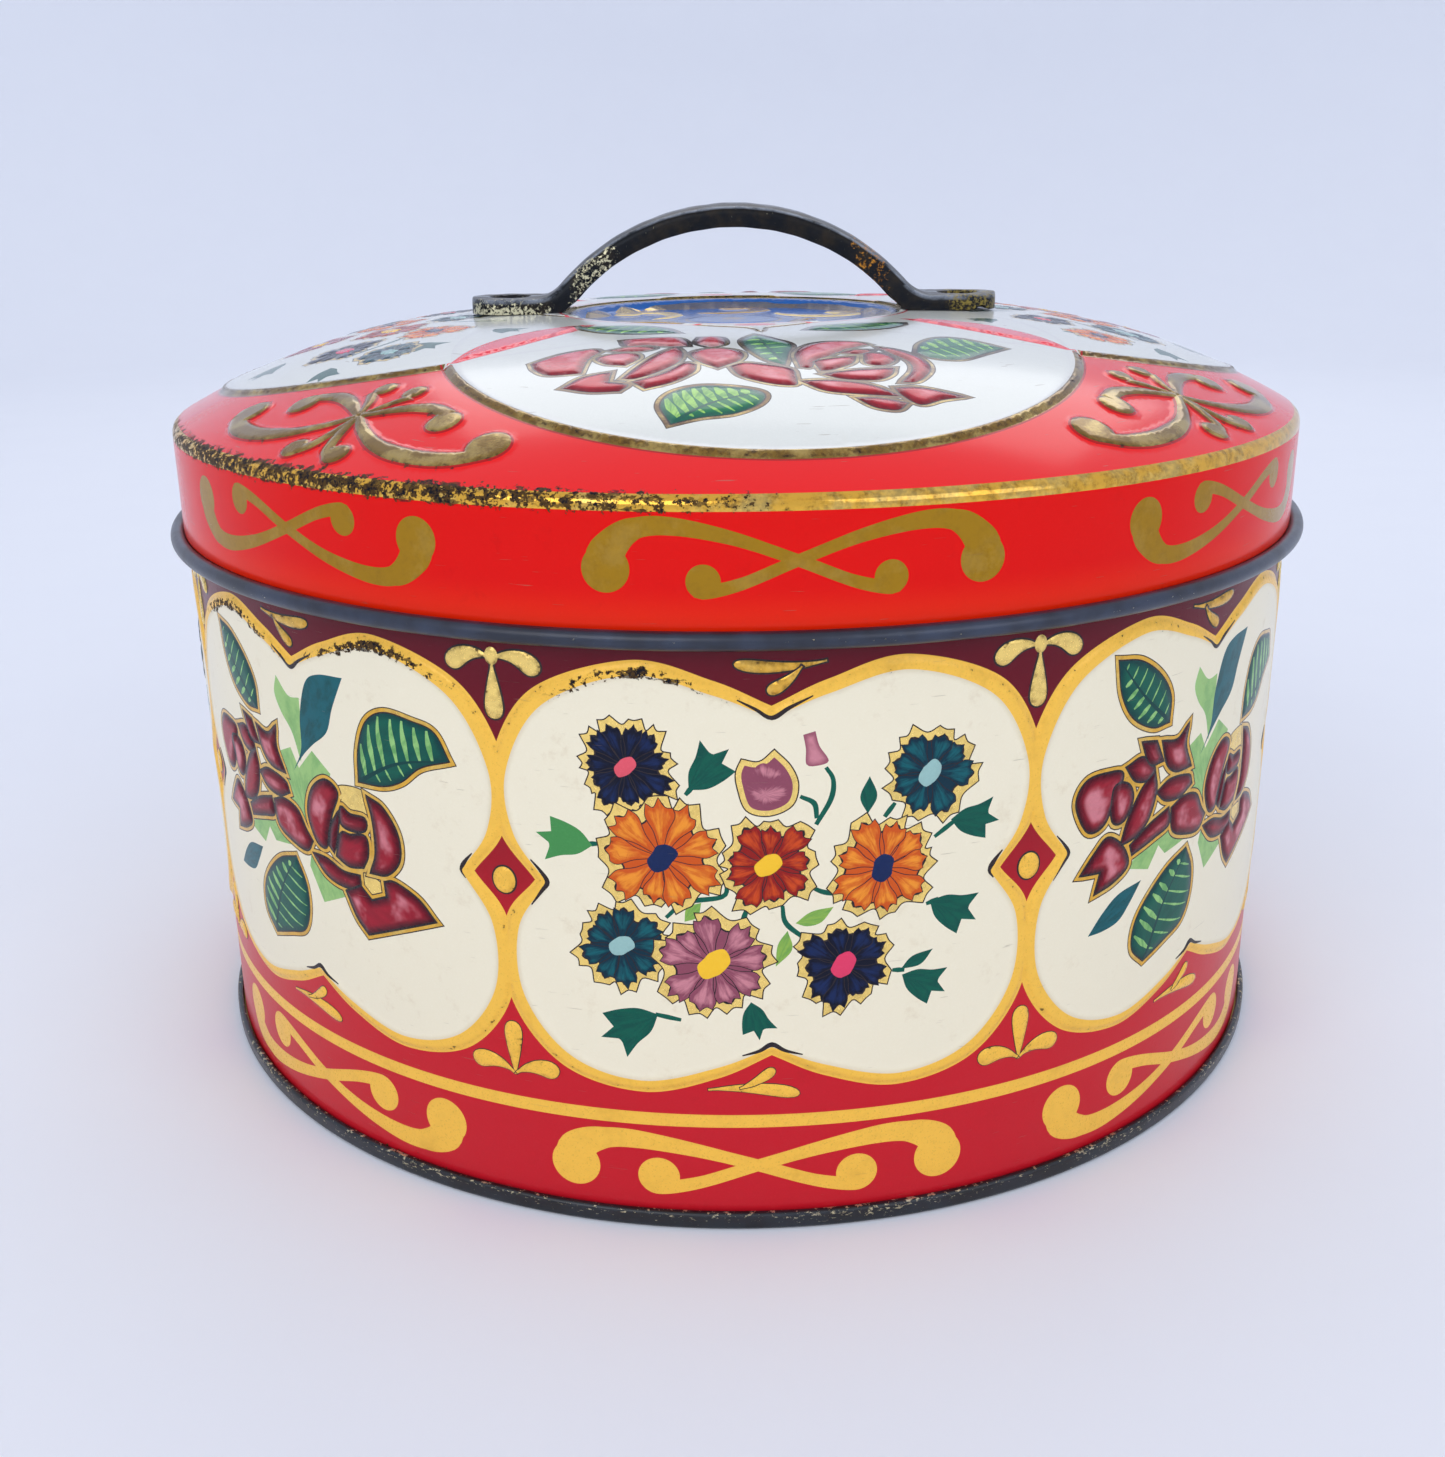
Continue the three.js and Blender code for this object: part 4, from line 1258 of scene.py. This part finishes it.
def skirtSheet(flip):
    half = math.pi * skirtRadius / 8
    flat = lidArt["skirtTop"] - lidArt["skirtLow"]
    high = flat + 2.35
    rungs = np.linspace(0, high, 30)
    edge = np.vstack([[(x, 0) for x in np.linspace(-half, half, 101)[:-1]],
                      [(half, v) for v in rungs[:-1]],
                      [(x, high) for x in np.linspace(half, -half, 101)[:-1]],
                      [(-half, v) for v in rungs[::-1][:-1]]])
    sheet = Sheet(edge)
    reach = half + 3
    sheet.lay(edge, "skirtGlow", fade=("skirtRed", 0, 7))
    form = {"outer": (27.3, -1.2, 3.5), "inner": (13.4, -2.9, 2.5), "arch": 5.0, "dip": -4.4,
            "width": 2.2}
    scroll(sheet, 0, 110.3 - lidArt["skirtLow"], form, flip, "skirtGold", 0.6)
    band = np.array([(-reach, flat - 0.4), (reach, flat - 0.4), (reach, high + 1), (-reach, high + 1)])
    sheet.lay(band, "gold", foil=1.0)
    return sheet


def skirtWear(spots, height):
    high = lidArt["skirtTop"] - lidArt["skirtLow"]
    near = np.clip((spots[:, 1] - high + 1.6) / 1.4, 0, 1)
    return np.clip(0.14 + 0.72 * near, 0, 1)


for flip in (1, -1):
    pressing = Pressing(skirtSheet(flip), 0.9, skirtWear)
    for k in range(0 if flip > 0 else 1, 8, 2):
        finishLid(buildSheet("lid_skirt_%d" % (k + 1), pressing, onSkirt, skirtPaint,
                             lidArt["skirtTurn"] + 45 * k))
print("lid skirt printed")


def solid(name, points, faces, material, sharp, chart=None):
    # a piece from points in millimetres, with its faces turned outwards; a chart closes its seam as well
    mesh = bpy.data.meshes.new(name)
    mesh.from_pydata([(x * mm, y * mm, z * mm) for x, y, z in points], [], faces)
    if chart:
        layer = mesh.uv_layers.new(name="OFBake")
        layer.data.foreach_set("uv", np.array(chart, np.float32).ravel())
    work = bmesh.new()
    work.from_mesh(mesh)
    if chart:
        bmesh.ops.remove_doubles(work, verts=work.verts, dist=1e-7)
    bmesh.ops.recalc_face_normals(work, faces=work.faces)
    work.to_mesh(mesh)
    work.free()
    mesh.materials.append(material)
    mesh.shade_smooth()
    mesh.set_sharp_from_angle(angle=math.radians(sharp))
    piece = bpy.data.objects.new(name, mesh)
    bpy.context.scene.collection.objects.link(piece)
    return piece


def rungFaces(rings, wide):
    # faces between rings of points, and a cap at each end
    faces = []
    for k in range(rings - 1):
        for i in range(wide):
            j = (i + 1) % wide
            faces.append((k * wide + i, k * wide + j, (k + 1) * wide + j, (k + 1) * wide + i))
    return faces + [tuple(range(wide)), tuple(range((rings - 1) * wide, rings * wide))]


def turned(name, profile, steps, material, waver=0.0, seed=1, sharp=35):
    # turns a closed profile of (radius, height) points about the tin's axis
    dice = random.Random(seed)
    waves = [(n, dice.uniform(0, 6.28), dice.uniform(0.3, 1.0)) for n in (2, 3, 5, 9, 14, 23, 37)]
    size = sum(w for n, phase, w in waves)
    points, faces, chart = [], [], []
    # a ring close to each end of a long step keeps the smoothing there
    rings = []
    for here, there in zip(profile, profile[1:] + profile[:1]):
        rings.append(here)
        length = math.dist(here, there)
        if length > 5:
            for share in (0.4 / length, 1 - 0.4 / length):
                rings.append(tuple(a + (b - a) * share for a, b in zip(here, there)))
    profile = rings
    count = len(profile)
    for k in range(steps):
        a = 2 * math.pi * k / steps
        shake = waver * sum(w * math.sin(n * a + phase) for n, phase, w in waves) / size
        for r, z in profile:
            grown = r + shake if r > 1 else r
            points.append((grown * math.sin(a), -grown * math.cos(a), z))
    length = np.concatenate([[0], np.cumsum([math.dist(profile[i], profile[(i + 1) % count])
                                             for i in range(count)])])
    length /= length[-1]
    for k in range(steps):
        for i in range(count):
            j, l = (i + 1) % count, (k + 1) % steps
            if profile[i][0] < 1e-6 and profile[j][0] < 1e-6:
                continue
            corners = [(k, i, k, length[i]), (l, i, k + 1, length[i]), (l, j, k + 1, length[i + 1]),
                       (k, j, k, length[i + 1])]
            if profile[i][0] < 1e-6:
                corners.pop(1)
            elif profile[j][0] < 1e-6:
                corners.pop(2)
            faces.append([a * count + b for a, b, c, d in corners])
            chart += [(c / steps, d) for a, b, c, d in corners]
    return solid(name, points, faces, material, sharp, chart)


def bend(r, z, radius, start, end, steps):
    # points on an arc, angles in degrees
    return [(r + radius * math.cos(math.radians(a)), z + radius * math.sin(math.radians(a)))
            for a in np.linspace(start, end, steps)]


lacquerLook = {"gold": srgb(206, 170, 92), "dull": srgb(150, 124, 72), "spot": srgb(74, 52, 34)}


def goldLacquer(name, look):
    # the lacquered inside: golden tinplate with rolling lines and freckles of rust
    p = Paint(name)
    place = p.place()
    cloud = p.between(p.noise(place, 0.03, 4.0, 0.6), 0.35, 0.7)
    lines = p.noise(place, 0.5, 3.0, 0.6, (0.1, 0.1, 8))
    freckle = p.between(p.noise(place, 0.42, 5.0, 0.7, shift=(4, 8, 1)), 0.66, 0.72)
    body = p.mix(cloud * 0.6 + (lines - 0.5) * 0.6, look["gold"], look["dull"])
    body = p.mix(freckle * 0.8, body, look["spot"])
    sockets = {"Base Color": body, "Metallic": 0.85 - freckle * 0.6,
               "Roughness": 0.34 + freckle * 0.4 + cloud * 0.08, "Coat Weight": 0.25,
               "Coat Roughness": 0.2}
    return p.finish(sockets, lines * 0.4 + cloud - freckle, 0.05)


darkLook = {"navy": srgb(26, 34, 42), "black": srgb(14, 16, 20), "steel": srgb(190, 190, 180),
            "brass": srgb(222, 204, 140)}


def darkLacquer(name, look, speckle, low, high):
    # stoving lacquer on the folded edges, rubbed through to the tin in specks; speckle sets how much
    p = Paint(name)
    place = p.place()
    height = p.node("ShaderNodeSeparateXYZ", {}, {0: place}, 2)
    cloud = p.noise(place, 0.09, 3.0, 0.6)
    grit = p.noise(place, 1.5, 4.0, 0.72, (0.55, 0.55, 1.6))
    patch = p.between(p.noise(place, 0.035, 2.0, 0.5, shift=(90, 4, 2)), 0.4, 0.66)
    middle = p.between(height, low, (low + high) / 2) * p.between(height, (low + high) / 2, high, 1.0,
            0.0)
    bare = p.between(grit + patch * 0.06 + middle * 0.11 + speckle * 0.1, 0.74, 0.77)
    body = p.mix(p.between(cloud, 0.35, 0.65), look["navy"], look["black"])
    body = p.mix(bare, body, p.mix(cloud, look["steel"], look["brass"]))
    sockets = {"Base Color": body, "Metallic": 0.25 + bare * 0.6,
               "Roughness": 0.3 + cloud * 0.16 + bare * 0.05, "Coat Weight": 0.3 * (1 - bare),
               "Coat Roughness": 0.25}
    return p.finish(sockets, cloud * 0.5 + grit * 0.4 - bare, 0.08)


insidePaint = goldLacquer("goldLacquer", lacquerLook)
edgeLook = dict(darkLook, navy=srgb(44, 54, 74), black=srgb(26, 32, 46))
edgePaint = darkLacquer("edgeLacquer", edgeLook, -0.7, edgeLow, edgeLow + 2.9)
rimPaint = darkLacquer("rimLacquer", darkLook, 0.2, 0.2, bottomHigh.z / mm)


def makeLidMetal():
    # the unprinted side of the lid and its rolled edge
    low = lidArt["skirtLow"]
    thick, front = 0.36, 0.19

    def skin(depth):
        spots = [(skirtRadius - depth, low), (skirtRadius - depth, lidArt["skirtTop"] - 0.3)]
        for r in np.linspace(shoulderRadius - 0.3, lidArt["crest"], 30):
            spots.append((r, domeHeight(np.array([r]))[0] - depth))
        for r in (*np.linspace(32, 29.4, 9), 0):
            spots.append((r, centreHeight(np.array([r]))[0] - depth))
        return spots

    inside = turned("lid_inside", skin(front) + skin(thick)[::-1], 192, insidePaint)
    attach(inside, "lid")
    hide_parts("lid_shell")
    roll = edgeRadius - 1.45, edgeLow + 1.45
    profile = bend(*roll, 1.43, -170, 178, 26)
    profile += [(skirtRadius - thick, low + 0.2), (skirtRadius - thick, low - 1.2)]
    edge = turned("lid_rolled_edge", profile, 320, edgePaint, waver=0.02, seed=4, sharp=60)
    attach(edge, "lid")
    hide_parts("lid_shell")


def makeWallMetal():
    # the inside of the wall, the curl at its mouth and the flange in the bottom seam
    outer, inner = wallRadius - 0.19, wallRadius - 0.35
    curl = 1.1
    centre = (wallRadius - curl, wallTop - curl)
    low = wallLow.z / mm
    profile = [(inner, low + 0.02), (wallRadius + 0.7, low + 0.02), (wallRadius + 0.7, low + 0.33),
               (outer, low + 0.4), (outer, wallTop - 2.05), (wallRadius, wallTop - 2.0)]
    profile += bend(*centre, curl, 0, 225, 14) + bend(*centre, curl - 0.35, 225, 0, 12)
    profile.append((inner, wallTop - 2.4))
    sheet = turned("wall_inside", profile, 256, insidePaint)
    fold = foldedSeam(inner)
    for piece in (sheet, fold):
        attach(piece, "tin_body")
        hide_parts("body_wall")


def foldedSeam(radius):
    # the locked side seam on the inside of the wall at the back
    points = []
    profile = [(-2.6, 0.0), (-2.35, 0.55), (-1.9, 0.8), (-0.4, 0.82), (0.0, 0.66), (0.4, 0.82),
               (1.9, 0.8), (2.35, 0.55), (2.6, 0.0)]
    heights = np.linspace(6.6, 114.9, 60)
    for z in heights:
        for x, deep in profile:
            shake = 0.05 * math.sin(z * 0.9 + x) * (deep > 0.5)
            r = radius + 0.02 - deep + shake
            points.append((-r * math.sin(x / radius), r * math.cos(x / radius), z))
    return solid("wall_side_seam", points, rungFaces(len(heights), len(profile)), insidePaint, 50)


def makeBottom():
    # the bottom seam that the tin stands on, and the stepped panel inside it
    top = bottomHigh.z / mm              # upper face of the panel's middle
    outer, hook, chuck = rimRadius, wallRadius + 0.3, wallRadius - 0.65
    under = top - 0.9 - 0.35
    rise, lip = 0.9, 3.0
    panel = [(0, under + rise), (40, under + rise), (41, under + rise - 0.35),
             (42.4, under + rise - 0.35), (43.4, under + rise), (82.6, under + rise), (84.4, under),
             (chuck - 1.3, under), (chuck - 0.45, under - 0.5)]
    seam = [(chuck - 0.35, 0.6)] + bend(chuck + 0.15, 0.5, 0.5, 180, 270, 6)
    seam += bend(outer - 0.8, 0.8, 0.8, 270, 360, 8) + bend(outer - 0.62, lip - 0.62, 0.62, 0, 90, 8)
    seam += bend(hook + 0.12, lip - 0.12, 0.12, 90, 180, 3) + [(hook, lip - 1.1), (hook + 0.3, lip - 1.1)]
    back = [(hook + 0.35, lip - 0.35), (outer - 0.4, lip - 0.4), (outer - 0.35, 0.4),
            (chuck + 0.05, 0.35), (chuck, under - 0.5), (chuck - 0.9, top - 0.9), (84.6, top - 0.9),
            (82.8, top), (43.4, top), (42.4, top - 0.35), (41, top - 0.35), (40, top), (0, top)]
    rim = turned("bottom_seam_and_panel", panel + seam + back, 320, rimPaint, waver=0.03, seed=9)
    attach(rim, "tin_body")
    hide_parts("bottom_plate")


makeLidMetal()
makeWallMetal()
makeBottom()
print("seams, edges and insides made")

strap = {
    "archRadius": 46.0,
    "fillet": 7.0,
    "depth": 4.4,
    "grip": 6.0,
    "foot": 8.5,
    "flareFrom": 24.0,
    "flareTo": 40.0,
    "tip": 6.0,
    "sheet": 0.9,
    "seat": 3.9,             # radius of the round seat for each rivet
    "seatDrop": 1.65,
    "step": 0.5,
    "hollowEnd": 37.0,       # how far out the hollow underneath reaches
    "hollowFade": 4.0,
    "flatFrom": 33.0,        # where the relief along the strap dies away towards a foot
    "flatFade": 6.0,
    "shoulder": 1.5,
    "fall": 0.42,            # from the spine to the top's edges
    "groove": 0.2,
}


def strapPath():
    # points along the top of the strap with the direction that faces out of it
    radius, fillet = strap["archRadius"], strap["fillet"]
    centre = archTop - radius
    turn = math.acos((footTop + fillet - centre) / (radius + fillet))
    footEnd = (radius + fillet) * math.sin(turn)
    half = []
    steps = round(radius * turn / strap["step"])
    for a in np.linspace(0, turn, steps, endpoint=False):
        half.append((radius * math.sin(a), centre + radius * math.cos(a), math.sin(a), math.cos(a)))
    for a in np.linspace(turn, 0, round(fillet * turn / strap["step"]), endpoint=False):
        half.append((footEnd - fillet * math.sin(a), footTop + fillet - fillet * math.cos(a), math.sin(a),
                     math.cos(a)))
    for x in np.linspace(footEnd, handleReach, round((handleReach - footEnd) / strap["step"]) + 1):
        half.append((x, footTop, 0.0, 1.0))
    left = [(-x, z, -nx, nz) for x, z, nx, nz in half[1:]][::-1]
    return left + half


def strapHalfWidth(x):
    share = eased((abs(x) - strap["flareFrom"]) / (strap["flareTo"] - strap["flareFrom"]))
    wide = strap["grip"] + (strap["foot"] - strap["grip"]) * share
    past = abs(x) - (handleReach - strap["tip"])
    if past > 0:
        wide += math.sqrt(max(0.0, strap["tip"]**2 - past**2)) - strap["tip"]
    return wide


def strapSection(x, wide, depth):
    # the section across the strap: (across, out) pairs, closed, starting at its lower left outside corner
    hollow = eased((strap["hollowEnd"] - abs(x)) / strap["hollowFade"])
    footed = min(1.0, max(0.0, (abs(x) - strap["flatFrom"]) / strap["flatFade"]))
    shoulder = min(strap["shoulder"], wide * 0.4)
    top = []
    for y in np.linspace(-1, 1, 27):
        across = y * (wide - shoulder)
        spine = math.exp(-(across / 2.1)**2)
        valley = math.exp(-((abs(across) - wide * 0.62) / 1.1)**2)
        out = -strap["fall"] * (1 - footed * 0.7) * (1 - spine) - strap["groove"] * valley * (1 - footed)
        top.append((across, out))
    side = top[-1][1]
    round1 = [(wide - shoulder + shoulder * math.sin(a), side - shoulder * (1 - math.cos(a)))
              for a in np.linspace(0.25, math.pi / 2, 5)]
    descent = shoulder - depth + 0.3 - side
    down = [(wide + 0.12 * s, side - shoulder + descent * s) for s in (0.3, 0.6, 0.85)]
    lip = [(wide + 0.1, -depth + 0.12), (wide - 0.15, -depth), (wide - strap["sheet"] + 0.1, -depth),
           (wide - strap["sheet"], -depth + 0.15)]
    ceiling = -(strap["sheet"] + 0.35) * hollow - (depth - 0.06) * (1 - hollow)
    inner = [(wide - strap["sheet"], ceiling - 0.5 * hollow), (wide - strap["sheet"] - 0.5, ceiling)]
    right = round1 + down + lip + inner
    left = [(-a, b) for a, b in right]
    return left[::-1] + top + right


def makeHandle():
    path = strapPath()
    floor = handleLow.z / mm
    points, rubsAndSheen = [], []
    for x, z, nx, nz in path:
        wide = strapHalfWidth(x)
        section = strapSection(x, max(wide, 1.6), strap["depth"])
        for across, out in section:
            px, pz = x + nx * out, z + nz * out
            if pz < floor:
                pz = floor + 0.04 * (pz - floor) / strap["depth"] + 0.05
            away = math.hypot(abs(px) - abs(rivetHigh.x + rivetLow.x) / 2 / mm, across)
            if out > -1.0 and abs(x) > 36:
                pz -= strap["seatDrop"] * eased((strap["seat"] + 0.35 - away) / 0.9)
            # small dents and a nick under the right foot
            pz += 0.05 * math.sin(px * 0.9 + across) * math.sin(px * 0.31)
            if 46.4 < px < 49.0 and across < -5 and out < -2:
                pz += 0.9 * math.sin((px - 46.4) / 2.6 * math.pi)
            points.append((px, across, min(pz, archTop)))
            # bare along the spine and the top's two edges; the steel grey there is partly wear and partly
            # a painted sheen
            ridge = math.exp(-(across / 1.3)**2) + math.exp(-((abs(across) - wide + 0.6) / 0.5)**2)
            rubsAndSheen.append(min(1.0, ridge) if out > -1.0 else 0.0)
    faces = rungFaces(len(path), len(section))
    piece = solid("handle_strap", points, faces, handlePaint("handleBronze", handleLook), 48)
    fill(piece.data, "rubAndSheen", "FLOAT", "POINT", "value", rubsAndSheen)
    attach(piece, "lid")
    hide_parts("handle")


# worn: the steel grey of bare spots, also used as the painted sheen along the handle's top
handleLook = {"lacquer": srgb(15, 19, 25), "warm": srgb(42, 36, 28), "worn": srgb(150, 158, 168),
              "silver": srgb(214, 208, 172), "brass": srgb(206, 140, 52), "olive": srgb(150, 132, 62)}


def handlePaint(name, look):
    # dark bronze lacquer rubbed to steel along the spine and lit there with a painted steel-grey sheen,
    # rubbed to brass and tin in patches on feet and legs
    p = Paint(name)
    place = p.place()
    across, front, height = (p.node("ShaderNodeSeparateXYZ", {}, {0: place}, i) for i in range(3))
    cloud = p.noise(place, 0.22, 4.0, 0.62)
    grit = p.noise(place, 1.3, 5.0, 0.74)
    fine = p.noise(place, 3.2, 3.0, 0.6)
    body = p.mix(p.between(cloud, 0.4, 0.7), look["lacquer"], look["warm"])
    rubAndSheen = p.read("rubAndSheen")
    # painted sheen and wear: steel grey along the spine and the top's edges
    body = p.mix(rubAndSheen * p.between(cloud + fine * 0.3, 0.42, 0.8), body, look["worn"])
    leftFoot = p.between(across, -37.0, -41.0)
    leftLeg = p.between(across, -32.5, -30.0) * p.between(across, -24.0, -20.5, 1.0, 0.0)
    sides = p.between(front, -4.6, -5.6)
    rightLeg = p.between(across, 21.0, 24.0) * p.between(across, 28.5, 31.5, 1.0, 0.0)
    rightFoot = p.between(across, 39.0, 43.0)
    low = p.between(height, footTop - 0.6, footTop - 2.4)
    leftSide = p.between(across, -33.0, -36.0) * sides
    silver = p.between(grit + leftFoot * 0.05 + leftSide * (low + 0.4) * 0.13 + leftLeg * sides * 0.17,
                       0.67, 0.72)
    brass = p.between(grit + rightLeg * 0.13, 0.665, 0.72) * rightLeg
    olive = p.between(grit + rightFoot * 0.14, 0.6, 0.72) * rightFoot
    body = p.mix(olive * 0.8, body, look["olive"])
    body = p.mix(silver, body, look["silver"])
    body = p.mix(brass, body, look["brass"])
    bare = p.between(silver + brass + olive * 0.6, 0.1, 1.0)
    sockets = {"Base Color": body, "Metallic": 0.55 + bare * 0.35,
               "Roughness": 0.28 + cloud * 0.14 - rubAndSheen * 0.06, "Coat Weight": 0.06, "Coat Roughness": 0.3,
               "Specular IOR Level": 0.25}
    return p.finish(sockets, cloud + grit * 0.5 + fine * 0.12 - bare * 0.3, 0.14)


makeHandle()


def makeRivets():
    # a low domed head in each foot's seat, its shank, and the tail spread under the lid
    low, high = rivetLow.z / mm, rivetHigh.z / mm
    radius = (rivetHigh.x - rivetLow.x) / 2 / mm
    seat = high - 1.0
    shank = 1.35
    profile = [(0, low)] + bend(radius - 0.7, low + 0.5, 0.5, 270, 360, 5)
    profile += [(radius - 0.2, low + 0.8), (shank, low + 0.82), (shank, seat), (radius - 0.1, seat)]
    profile += bend(radius - 0.25, seat + 0.25, 0.25, 0, 60, 4)
    profile += [(radius * s, seat + 0.3 + 0.68 * math.sqrt(1 - s**2)) for s in (0.82, 0.66, 0.46, 0.24)]
    profile.append((0, high - 0.02))
    for name, node, middle in (("rivet_left", "handle_rivet_left", -1),
                               ("rivet_right", "handle_rivet_right", 1)):
        rivet = turned(name, profile, 40, rivetPaint, sharp=45)
        where = (rivetLow.x + rivetHigh.x) / 2 * middle
        rivet.data.transform(Matrix.Translation((where, 0, 0)))
        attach(rivet, "lid")
        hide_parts(node)


rivetLook = dict(handleLook, lacquer=srgb(70, 68, 64), warm=srgb(92, 84, 66))
rivetPaint = handlePaint("rivetSteel", rivetLook)
makeRivets()
print("handle and rivets made")

cameraSet = {
    "place": (0.0, -0.32944, 0.16240),
    "lens": 40.15,
    "down": 0.3328,
    "yaw": -0.0094,
    "roll": -0.0114,
}


def makeCamera(look):
    camera = bpy.data.objects.new("camera", bpy.data.cameras.new("camera"))
    bpy.context.scene.collection.objects.link(camera)
    camera.data.lens = look["lens"]
    camera.data.sensor_width = 36
    camera.data.clip_start = 0.01
    yaw, down, roll = look["yaw"], look["down"], look["roll"]
    ahead = Vector((math.sin(yaw) * math.cos(down), math.cos(yaw) * math.cos(down), -math.sin(down)))
    level = Vector((math.cos(yaw), -math.sin(yaw), 0))
    above = level.cross(ahead)
    right = math.cos(roll) * level + math.sin(roll) * above
    up = math.cos(roll) * above - math.sin(roll) * level
    turn = Matrix((right, up, -ahead)).transposed()
    camera.matrix_world = Matrix.Translation(look["place"]) @ turn.to_4x4()
    bpy.context.scene.camera = camera


makeCamera(cameraSet)

stageSet = {
    "floor": srgb(240, 243, 248),
    "sky": srgb(226, 230, 246),
    "skyStrength": 0.86,
    "reach": 1.7,
    "bend": 0.5,
    "height": 1.1,
}


def makeStage(look):
    # a pale floor that curves up all round into a plain backdrop
    reach, bend, height = look["reach"], look["bend"], look["height"]
    profile = [(0.02, 0.0), (0.3, 0.0), (0.8, 0.0), (reach - bend, 0.0)]
    for a in np.linspace(0.1, math.pi / 2, 12):
        profile.append((reach - bend + bend * math.sin(a), bend - bend * math.cos(a)))
    profile.append((reach, height))
    steps = 96
    points = [(0.0, 0.0, 0.0)]
    faces = []
    for r, z in profile:
        for k in range(steps):
            a = 2 * math.pi * k / steps
            points.append((r * math.cos(a), r * math.sin(a), z))
    for k in range(steps):
        faces.append((0, 1 + k, 1 + (k + 1) % steps))
        for ring in range(len(profile) - 1):
            a, b = 1 + ring * steps + k, 1 + ring * steps + (k + 1) % steps
            faces.append((a, a + steps, b + steps, b))
    mesh = bpy.data.meshes.new("floor")
    mesh.from_pydata(points, [], faces)
    mesh.shade_smooth()
    p = Paint("floor")
    speck = p.noise(p.place(), 0.02, 3.0, 0.6)
    colour = p.mix(speck * 0.25, look["floor"], srgb(230, 233, 242))
    mesh.materials.append(p.finish({"Base Color": colour, "Roughness": 0.75 + speck * 0.1}))
    floor = bpy.data.objects.new("floor", mesh)
    bpy.context.scene.collection.objects.link(floor)
    world = bpy.data.worlds.new("studio")
    bpy.context.scene.world = world
    world.use_nodes = True
    sky = world.node_tree.nodes["Background"]
    sky.inputs[0].default_value = look["sky"]
    sky.inputs[1].default_value = look["skyStrength"]


def softLight(name, place, aim, size, power, colour=(1, 1, 1)):
    lamp = bpy.data.lights.new(name, "AREA")
    lamp.shape = "RECTANGLE"
    lamp.size, lamp.size_y = size
    lamp.energy = power
    lamp.color = colour
    holder = bpy.data.objects.new(name, lamp)
    holder.location = place
    holder.rotation_euler = (Vector(aim) - Vector(place)).to_track_quat("-Z", "Y").to_euler()
    bpy.context.scene.collection.objects.link(holder)


makeStage(stageSet)
softLight("key", (-0.55, -1.05, 0.85), (0, 0, 0.06), (0.9, 0.7), 4.4)
softLight("fill", (0.8, -0.95, 0.7), (0, 0, 0.06), (0.9, 0.7), 2.6, (0.95, 0.97, 1.0))
softLight("back", (0.1, 1.0, 1.0), (0, 0, 0.1), (1.2, 0.6), 2.8)
bpy.context.scene.view_settings.view_transform = "Standard"
